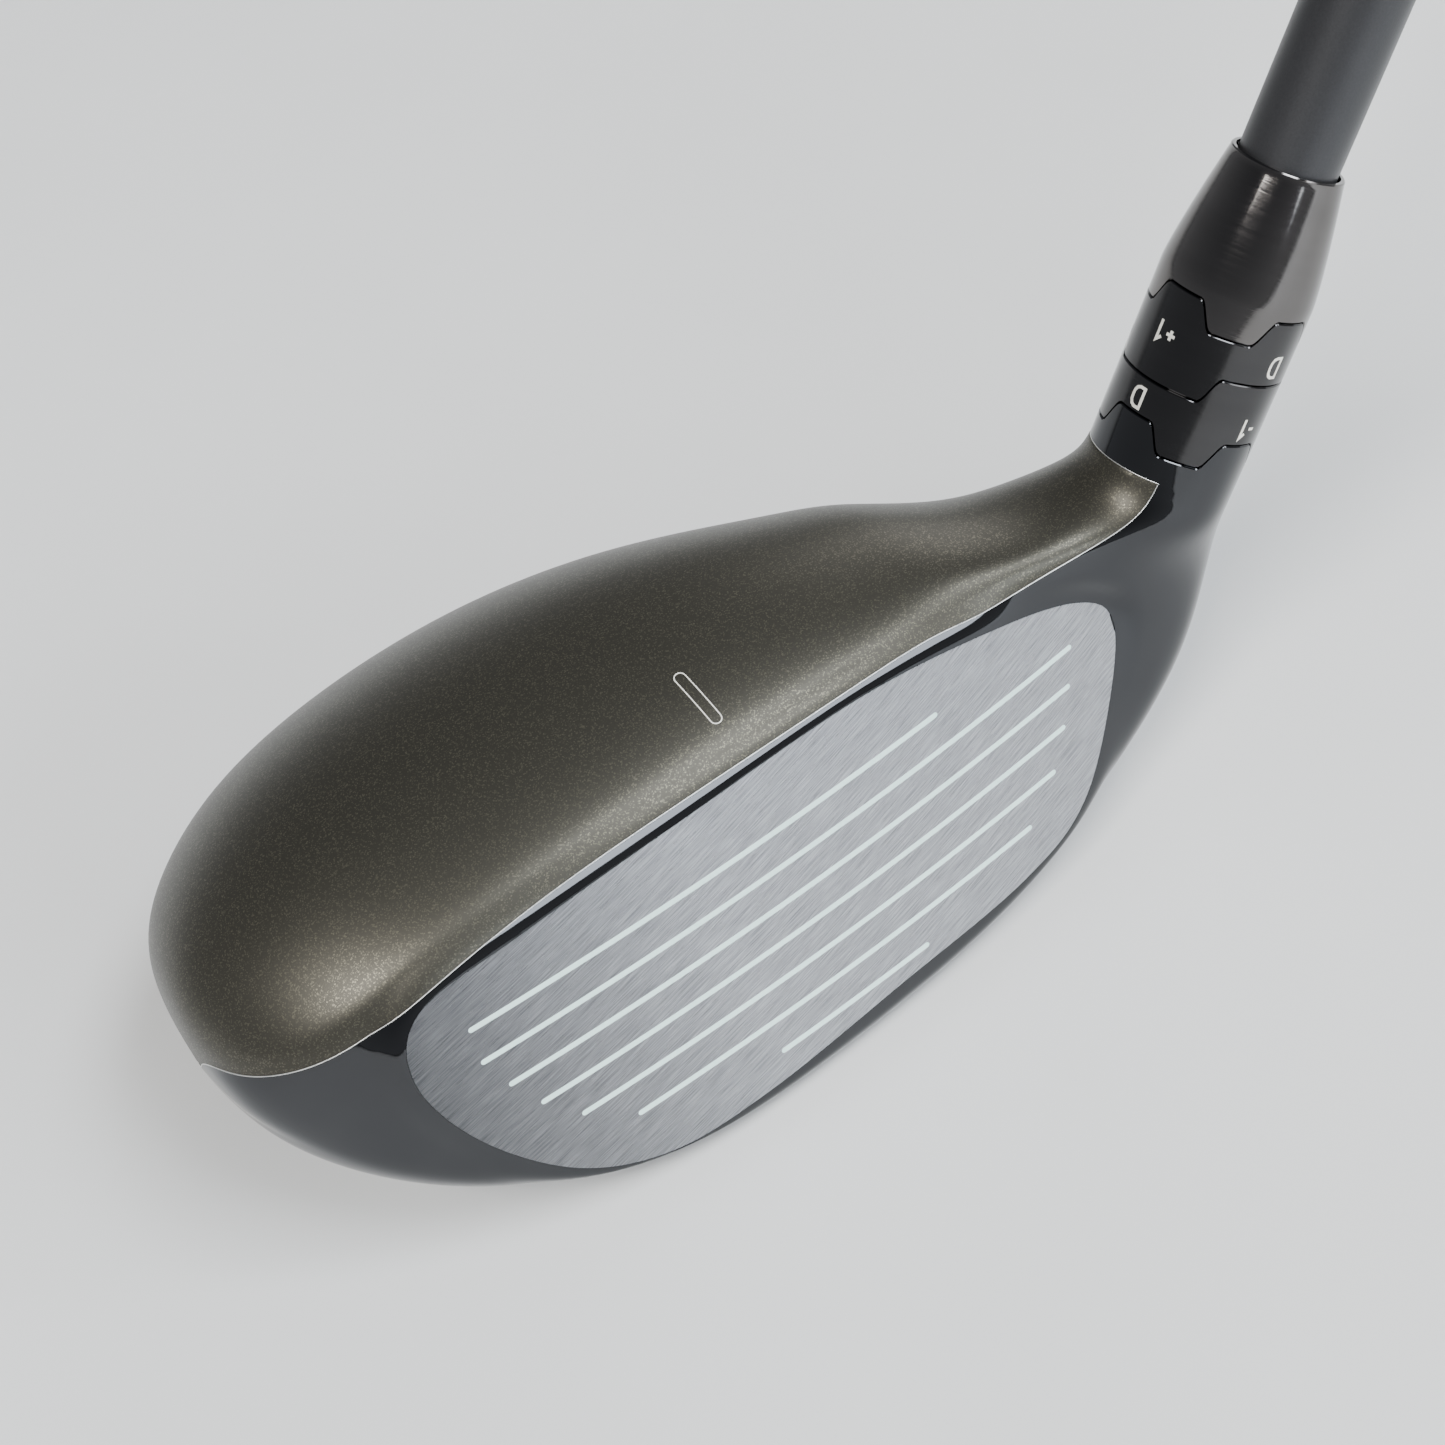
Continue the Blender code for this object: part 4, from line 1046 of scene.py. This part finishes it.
def retaining_screw():
    seat = SCREW_SEAT - 1.3
    profile = [(0, SCREW_TIP), (1.9, SCREW_TIP), (2.5, SCREW_TIP - 0.7)]
    profile += thread(2.5, 2.28, SCREW_TIP - 1.2, 0.8, 0.4, 14)
    profile += [(2.5, seat), (4.2, seat), (4.2, seat - 3.6), (3.8, seat - 4.0)]
    profile += socket([(2.35, seat - 4.0), (2.15, seat - 3.75), (2.15, seat - 1.7)]) + [(0, seat - 1.3)]
    return revolve("retaining_screw_body", profile, SHAFT_FRAME)


def weight_screw():
    profile = [(0, 5.0), (2.4, 5.0), (3.0, 4.4)] + thread(3.0, 2.8, 3.8, 0.75, 0.37, 6)
    profile += [(3.0, -1.1), (6.3, -1.1), (6.3, -3.2), (5.9, -3.6), (4.6, -3.6), (4.5, -3.5),
                (4.3, -3.5), (4.2, -3.6)]
    profile += socket([(2.2, -3.6), (2.0, -3.35), (2.0, -1.9)]) + [(0, -1.6)]
    return revolve("sole_weight_screw", profile, WEIGHT_FRAME)


def small_turned():
    """Washers, clip, sleeve, plug and tape, each with broken edges."""
    top = SCREW_SEAT - 0.25
    low = BORE_BOTTOM + 0.3
    tip = SLEEVE_SHOULDER + 0.8
    tape = SHAFT_BUTT_RADIUS + 0.12
    tape_top, tape_end = BUTT - 5.0, GRIP_MOUTH + 6.0
    rows = (
        ("screw_washer_ring", "screw_washer", SHAFT_FRAME, 0.12,
         ((4.4, top), (4.4, top - 0.8), (SCREW_HOLE, top - 0.8), (SCREW_HOLE, top))),
        ("screw_clip_ring", "screw_clip", SHAFT_FRAME, 0.2,
         ((4.3, low + 1.1), (4.3, low), (2.65, low), (2.65, low + 1.1))),
        ("weight_washer_ring", "weight_washer", WEIGHT_FRAME, 0.1,
         ((6.2, -0.3), (6.2, -0.8), (WEIGHT_HOLE, -0.8), (WEIGHT_HOLE, -0.3))),
        ("adapter_sleeve_tube", "adapter_sleeve", SHAFT_FRAME, 0.25,
         ((SLEEVE_RADIUS, SLEEVE_TOP), (SLEEVE_RADIUS, 0.0), (SLEEVE_RADIUS - 0.6, SLEEVE_BOTTOM),
          (2.8, SLEEVE_BOTTOM), (2.8, SLEEVE_SHOULDER), (4.85, SLEEVE_SHOULDER), (4.85, SLEEVE_TOP))),
        ("tip_plug_pin", "tip_plug", SHAFT_FRAME, 0.2,
         ((0, tip + 20), (2.0, tip + 20), (2.3, tip + 19.4), (2.3, tip), (0, tip))),
        ("grip_tape_wrap", "grip_tape", SHAFT_FRAME, 0.05,
         ((tape + 0.2, tape_top), (tape + 0.2, tape_end), (tape, tape_end), (tape, tape_top))),
    )
    for name, node, matrix, size, profile in rows:
        yield revolve(name, rounded(profile, size), matrix), node, matrix


def internal_weight():
    """The dense block inside, with rounded edges, standing for its CAD node."""
    low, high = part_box("internal_weight")
    middle = (low + high) / 2
    bm = bmesh.new()
    bmesh.ops.create_cube(bm, size=1.0)
    for v in bm.verts:
        v.co = Vector((v.co[k] * (high[k] - low[k]) + middle[k] for k in range(3)))
    bmesh.ops.bevel(bm, geom=bm.edges[:], offset=0.0012, segments=4, profile=0.5, affect="EDGES")
    return keep_mesh("internal_weight_block", bm)


# ---------------------------------------------------------------- materials
class Shader:
    """Short names for building a node material."""

    def __init__(self, name, colour, metallic, roughness):
        self.material = bpy.data.materials.new(name)
        self.material.use_nodes = True
        self.tree = self.material.node_tree
        self.main = self.tree.nodes["Principled BSDF"]
        self.set("Base Color", (*colour, 1.0))
        self.set("Metallic", metallic)
        self.set("Roughness", roughness)

    def set(self, name, value):
        self.main.inputs[name].default_value = value

    def node(self, kind, **inputs):
        made = self.tree.nodes.new("ShaderNode" + kind)
        for name, value in inputs.items():
            target = made.inputs[name.replace("_", " ")]
            if isinstance(value, bpy.types.NodeSocket):
                self.tree.links.new(value, target)
            else:
                target.default_value = value
        return made

    def place(self, scale, turn=(0.0, 0.0, 0.0), name=None):
        """Stretched and turned coordinates, from the object or from a stored attribute."""
        if name:
            source = self.node("Attribute")
            source.attribute_name = name
            vector = source.outputs["Vector"]
        else:
            vector = self.node("TexCoord").outputs["Object"]
        spin = self.node("Mapping", Vector=vector, Rotation=turn)
        stretch = self.node("Mapping", Vector=spin.outputs[0], Scale=scale)
        return stretch.outputs[0]

    def noise(self, vector, scale, detail=2.0, roughness=0.5):
        made = self.node("TexNoise", Vector=vector, Scale=scale, Detail=detail, Roughness=roughness)
        return made.outputs["Fac"]

    def ramp(self, value, low, high, to_low, to_high):
        made = self.node("MapRange", Value=value, From_Min=low, From_Max=high,
                         To_Min=to_low, To_Max=to_high)
        return made.outputs[0]

    def blend_colour(self, share, first, second, how="MIX"):
        """Two colours mixed; each value may be a number, a colour or another node's output."""
        made = self.tree.nodes.new("ShaderNodeMix")
        made.data_type = "RGBA"
        made.blend_type = how
        for index, value in ((0, share), (6, first), (7, second)):
            if isinstance(value, bpy.types.NodeSocket):
                self.tree.links.new(value, made.inputs[index])
            else:
                made.inputs[index].default_value = (*value, 1.0) if index else value
        return made.outputs[2]

    def link(self, value, name):
        self.tree.links.new(value, self.main.inputs[name])

    def bump(self, height, strength, distance):
        made = self.node("Bump", Height=height, Strength=strength, Distance=distance)
        self.link(made.outputs[0], "Normal")


MILLIMETRES = (MM_PER_METRE, MM_PER_METRE, MM_PER_METRE)


def gloss_black():
    m = Shader("gloss_black", (0.05, 0.05, 0.052), 1.0, 0.045)
    place = m.place(MILLIMETRES)
    broad = m.noise(place, 0.06, 3.0)
    m.link(m.ramp(broad, 0.3, 0.7, 0.03, 0.075), "Roughness")
    m.link(m.blend_colour(broad, (0.046, 0.047, 0.050), (0.066, 0.067, 0.070)), "Base Color")
    m.bump(m.noise(place, 0.35, 2.0), 0.04, 0.0002)
    return m.material


def crown_paint():
    m = Shader("crown_paint", (0.05, 0.046, 0.038), 0.7, 0.42)
    place = m.place(MILLIMETRES)
    flecks = m.node("TexVoronoi", Vector=place, Scale=9.0)
    chance = m.node("SeparateColor", Color=flecks.outputs["Color"]).outputs[0]
    spark = m.ramp(chance, 0.72, 1.0, 0.0, 1.0)
    soft = m.noise(place, 0.05, 3.0)
    shade = m.blend_colour(soft, (0.047, 0.0440, 0.035), (0.055, 0.0515, 0.041))
    m.link(m.blend_colour(spark, shade, (0.112, 0.105, 0.078)), "Base Color")
    m.link(m.ramp(spark, 0.0, 1.0, 0.40, 0.32), "Roughness")
    m.bump(m.noise(place, 6.0, 2.0), 0.10, 0.00004)
    return m.material


def brushed_face():
    """Fine hairlines that run a little steeper than the grooves, over painted shade that darkens the
    face towards the toe.
    """
    m = Shader("face_steel", (0.5, 0.51, 0.53), 1.0, 0.30)
    turn = (0.0, 0.0, -math.radians(14.0))
    fine = m.noise(m.place((0.26, 8.0, 1.0), turn, "grain"), 1.0, 3.0, 0.6)
    hair = m.noise(m.place((0.45, 5.0, 1.0), turn, "grain"), 1.0, 2.0, 0.7)
    split = m.node("SeparateXYZ", Vector=m.place((1.0, 1.0, 1.0), name="grain"))
    # painted shade: the face's colour is multiplied down from full at x = -10 mm to 0.3 at x = -42 mm,
    # darker towards the toe
    shade = m.ramp(split.outputs[0], -42.0, -10.0, 0.30, 1.0)
    lines = m.blend_colour(m.ramp(fine, 0.30, 0.70, 0.0, 1.0), (0.20, 0.205, 0.22), (0.50, 0.51, 0.535))
    m.link(m.blend_colour(1.0, lines, shade, "MULTIPLY"), "Base Color")
    m.link(m.ramp(hair, 0.3, 0.7, 0.24, 0.38), "Roughness")
    m.bump(hair, 0.5, 0.00004)
    return m.material


def groove_paint():
    m = Shader("groove_paint", (0.66, 0.80, 0.76), 0.0, 0.45)
    grain = m.noise(m.place(MILLIMETRES), 2.5, 3.0)
    m.link(m.blend_colour(grain, (0.62, 0.84, 0.79), (0.76, 0.95, 0.90)), "Base Color")
    m.bump(grain, 0.2, 0.00003)
    return m.material


def mark_paint():
    m = Shader("mark_paint", (0.74, 0.72, 0.64), 0.0, 0.5)
    grain = m.noise(m.place(MILLIMETRES), 4.0, 3.0)
    m.link(m.blend_colour(grain, (0.66, 0.64, 0.56), (0.84, 0.82, 0.75)), "Base Color")
    return m.material


def bare_metal(name, colour, roughness):
    m = Shader(name, colour, 1.0, roughness)
    grain = m.noise(m.place(MILLIMETRES), 3.0, 3.0)
    m.link(m.ramp(grain, 0.3, 0.7, roughness * 0.8, roughness * 1.25), "Roughness")
    m.bump(grain, 0.1, 0.00003)
    return m.material


def turned_finish(name, colour, metallic, roughness, strength=0.12, coat=0.0):
    """A finish with faint marks running round the piece, from the stored grain attribute."""
    m = Shader(name, colour, metallic, roughness)
    rings = m.noise(m.place((0.5, 0.5, 7.0), name="grain"), 1.0, 3.0, 0.6)
    broad = m.noise(m.place((0.3, 0.3, 0.25), name="grain"), 1.0, 2.0)
    darker = tuple(c * 0.82 for c in colour)
    lighter = tuple(min(c * 1.22, 1.0) for c in colour)
    m.link(m.blend_colour(broad, darker, lighter), "Base Color")
    m.link(m.ramp(rings, 0.3, 0.7, roughness * 0.75, roughness * 1.35), "Roughness")
    m.bump(rings, strength, 0.00003)
    if coat:
        m.set("Coat Weight", coat)
        m.set("Coat Roughness", 0.08)
    return m.material


def shaft_paint():
    m = Shader("graphite", (0.03, 0.03, 0.032), 0.4, 0.42)
    place = m.place(MILLIMETRES)
    grain = m.noise(place, 5.0, 3.0)
    broad = m.noise(m.place((0.4, 0.4, 0.02), name="grain"), 1.0, 2.0)
    m.link(m.blend_colour(grain, (0.027, 0.027, 0.029), (0.041, 0.041, 0.044)), "Base Color")
    m.link(m.ramp(broad, 0.3, 0.7, 0.36, 0.46), "Roughness")
    m.bump(grain, 0.12, 0.00005)
    return m.material


def rubber(name, colour, roughness=0.72, fine=4.0):
    m = Shader(name, colour, 0.0, roughness)
    place = m.place(MILLIMETRES)
    grain = m.noise(place, fine, 4.0, 0.6)
    broad = m.noise(place, 0.08, 3.0)
    lighter = tuple(c * 1.6 for c in colour)
    m.link(m.blend_colour(broad, colour, lighter), "Base Color")
    m.link(m.ramp(grain, 0.3, 0.7, roughness * 0.88, min(roughness * 1.15, 1.0)), "Roughness")
    m.bump(grain, 0.35, 0.0001)
    return m.material


def paper():
    m = Shader("tape_paper", (0.70, 0.66, 0.55), 0.0, 0.85)
    weave = m.noise(m.place((0.6, 0.6, 5.0), name="grain"), 1.0, 4.0)
    m.link(m.blend_colour(weave, (0.62, 0.58, 0.47), (0.76, 0.72, 0.61)), "Base Color")
    m.bump(weave, 0.4, 0.0001)
    return m.material


def floor_finish():
    m = Shader("pale_floor", (0.74, 0.74, 0.73), 0.0, 0.6)
    grain = m.noise(m.place((30.0, 30.0, 30.0)), 1.0, 4.0)
    m.link(m.blend_colour(grain, (0.72, 0.72, 0.71), (0.76, 0.76, 0.75)), "Base Color")
    return m.material


def round_grain(matrix):
    """For turned finishes: direction round the axis in x and y, station in z, mm."""
    back = matrix.inverted()

    def spot(place):
        p = back @ place
        reach = max(math.hypot(p.x, p.y), 1e-9)
        return p.x / reach, p.y / reach, p.z * MM_PER_METRE

    return spot


def face_grain(place):
    """For the brushed face: along x and up the face, mm."""
    p = place * MM_PER_METRE - FACE_CENTRE
    return p.x, p.y * LOFT_SIN + p.z * LOFT_COS, 0.0


def dress(obj, body, *materials, grain=None):
    """Give a piece its materials and the body it moves with, and store where its grain runs."""
    obj.data.materials.clear()
    for material in materials:
        obj.data.materials.append(material)
    if grain:
        spots = np.array([grain(v.co) for v in obj.data.vertices], np.float32)
        layer = obj.data.attributes.new("grain", "FLOAT_VECTOR", "POINT")
        layer.data.foreach_set("vector", spots.ravel())
    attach(obj, body)


def stand_in(obj, node, *materials, grain=None):
    """Dress the piece that is seen in place of a CAD node."""
    dress(obj, BODY_OF[node], *materials, grain=grain)
    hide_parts(node)


# ---------------------------------------------------------------- stage, light and camera
def stage():
    mesh = bpy.data.meshes.new("floor")
    bm = bmesh.new()
    bmesh.ops.create_grid(bm, x_segments=8, y_segments=8, size=6.0)
    bm.to_mesh(mesh)
    bm.free()
    floor = add_object("floor", mesh)
    floor.location.z = -0.00005
    mesh.materials.append(floor_finish())


SOFTBOXES = (                          # name, place, target, size, power, colour
    ("key", (-1.1, -0.5, 1.7), (0.1, 0.0, 0.1), (0.9, 0.7), 42.0, (1.0, 0.98, 0.95)),
    ("overhead", (0.55, -0.62, 1.5), (0.0, 0.0, 0.02), (0.9, 0.5), 26.0, (0.90, 0.95, 1.0)),
    ("front", (0.52, -1.5, 0.72), (0.0, 0.0, 0.03), (1.4, 0.5), 24.0, (0.86, 0.93, 1.0)),
    ("fill", (1.5, -1.0, 0.9), (0.1, 0.0, 0.15), (0.3, 1.0), 8.0, (0.94, 0.97, 1.0)),
    ("rim", (1.5, 1.1, 0.8), (0.2, 0.0, 0.2), (0.5, 0.9), 7.0, (1.0, 1.0, 1.0)),
)
SKY = ((0.0, (0.60, 0.62, 0.65, 1.0)), (0.75, (0.14, 0.15, 0.17, 1.0)))     # height, colour
SKY_STRENGTH = 0.75
CAMERA_PLACE = (-0.0602, -0.1202, 0.1924)
CAMERA_RIGHT = Vector((0.7885, -0.5968, -0.1486))
CAMERA_FORWARD = Vector((0.3011, 0.5853, -0.7529))
CAMERA_LENS = 58.9


def softbox(name, place, target, size, power, colour):
    lamp = bpy.data.lights.new(name, "AREA")
    lamp.shape = "RECTANGLE"
    lamp.size, lamp.size_y = size
    lamp.energy = power
    lamp.color = colour
    obj = add_object(name, lamp)
    obj.location = place
    obj.rotation_euler = (Vector(target) - Vector(place)).to_track_quat("-Z", "Y").to_euler()
    obj.visible_camera = False


def lights():
    sky = bpy.data.worlds.new("studio")
    bpy.context.scene.world = sky
    sky.use_nodes = True
    tree = sky.node_tree
    back = tree.nodes["Background"]
    where = tree.nodes.new("ShaderNodeTexCoord")
    split = tree.nodes.new("ShaderNodeSeparateXYZ")
    tree.links.new(where.outputs["Generated"], split.inputs[0])
    ramp = tree.nodes.new("ShaderNodeValToRGB")
    tree.links.new(split.outputs["Z"], ramp.inputs[0])
    for element, (position, colour) in zip(ramp.color_ramp.elements, SKY):
        element.position = position
        element.color = colour
    tree.links.new(ramp.outputs[0], back.inputs[0])
    back.inputs[1].default_value = SKY_STRENGTH
    for row in SOFTBOXES:
        softbox(*row)


def camera():
    data = bpy.data.cameras.new("view")
    data.lens = CAMERA_LENS
    data.sensor_width = 36.0
    data.clip_start = 0.005
    data.clip_end = 50.0
    obj = add_object("view", data)
    forward = CAMERA_FORWARD.normalized()
    right = (CAMERA_RIGHT - forward * CAMERA_RIGHT.dot(forward)).normalized()
    up = right.cross(forward)
    turn = Matrix((right, up, -forward)).transposed()
    obj.matrix_world = Matrix.Translation(CAMERA_PLACE) @ turn.to_4x4()
    bpy.context.scene.camera = obj


# ---------------------------------------------------------------- everything together
DIAL_MARKS = {                         # side, text, angle round the hosel, station
    "upper": (("toe", "+1", 90.0, 30.7), ("front", "D", 0.0, 30.7),
              ("heel", "-1", 270.0, 30.7), ("back", "D", 180.0, 30.7)),
    "lower": (("toe", "D", 92.0, 24.1), ("front", "-1", 0.0, 24.4),
              ("heel", "D", 270.0, 24.1), ("back", "+1", 180.0, 24.4)),
}
MARK_SIZE = 1.95


def build_head(edge, mark):
    stand_in(head_body(), "head_body", gloss_black(), edge)
    stand_in(crown_skin(), "crown_shell", crown_paint())
    # the light bead round the painted skin is partly a painted highlight along its edge
    dress(crown_edge_line(), "head", edge)
    stand_in(face_plate(), "face_plate", brushed_face(), grain=face_grain)
    groove = groove_paint()
    for index in range(len(GROOVES)):
        dress(groove_fill(index), "head", groove)
    dress(crown_mark(), "head", mark)


def build_rings(edge, mark, around):
    cog = turned_finish("cog_black", (0.055, 0.054, 0.055), 1.0, 0.11, 0.08)
    bore = [(BORE_RADIUS, "top"), (BORE_RADIUS, "bottom")]
    for level, node in enumerate(("lower_cog", "upper_cog")):
        ring = toothed_ring(node + "_ring", [], (level, TOOTH_GAP), (level + 1, 0.0), bore)
        stand_in(ring, node, cog, edge, grain=around)
    collar = turned_finish("ferrule_black", (0.125, 0.118, 0.115), 1.0, 0.10, 0.14)
    stand_in(ferrule(), "ferrule", collar, edge, grain=around)
    for ring, marks in DIAL_MARKS.items():
        for side, text, angle, station in marks:
            name = "mark_%s_%s" % (ring, side)
            dress(dial_mark(name, text, MARK_SIZE, angle, station, HOSEL_RADIUS), ring + "_ring", mark)


def build_shaft(around):
    stand_in(shaft(), "shaft", shaft_paint(), grain=around)
    stand_in(grip(), "grip", rubber("grip_rubber", (0.022, 0.022, 0.024), 0.75))
    stand_in(grip_cap(), "grip_cap", rubber("cap_rubber", (0.028, 0.028, 0.03), 0.55, 2.0))


def build_small():
    finishes = {
        "screw_washer": bare_metal("washer_steel", (0.42, 0.42, 0.43), 0.4),
        "screw_clip": rubber("clip_rubber", (0.03, 0.03, 0.03), 0.6),
        "weight_washer": rubber("washer_rubber", (0.03, 0.03, 0.03), 0.6),
        "adapter_sleeve": turned_finish("sleeve_aluminium", (0.60, 0.61, 0.63), 1.0, 0.32, 0.3),
        "tip_plug": turned_finish("plug_brass", (0.60, 0.46, 0.20), 1.0, 0.4, 0.3),
        "grip_tape": paper(),
    }
    stand_in(retaining_screw(), "retaining_screw", bare_metal("screw_steel", (0.36, 0.36, 0.37), 0.35))
    stand_in(weight_screw(), "weight_screw", bare_metal("weight_metal", (0.33, 0.33, 0.34), 0.32))
    for piece, node, matrix in small_turned():
        stand_in(piece, node, finishes[node], grain=round_grain(matrix))
    stand_in(internal_weight(), "internal_weight", bare_metal("tungsten", (0.30, 0.30, 0.32), 0.5))


def build():
    edge = bare_metal("edge_metal", (0.80, 0.80, 0.78), 0.42)
    mark = mark_paint()
    around = round_grain(SHAFT_FRAME)
    build_head(edge, mark)
    build_rings(edge, mark, around)
    build_shaft(around)
    build_small()


build()
stage()
lights()
camera()
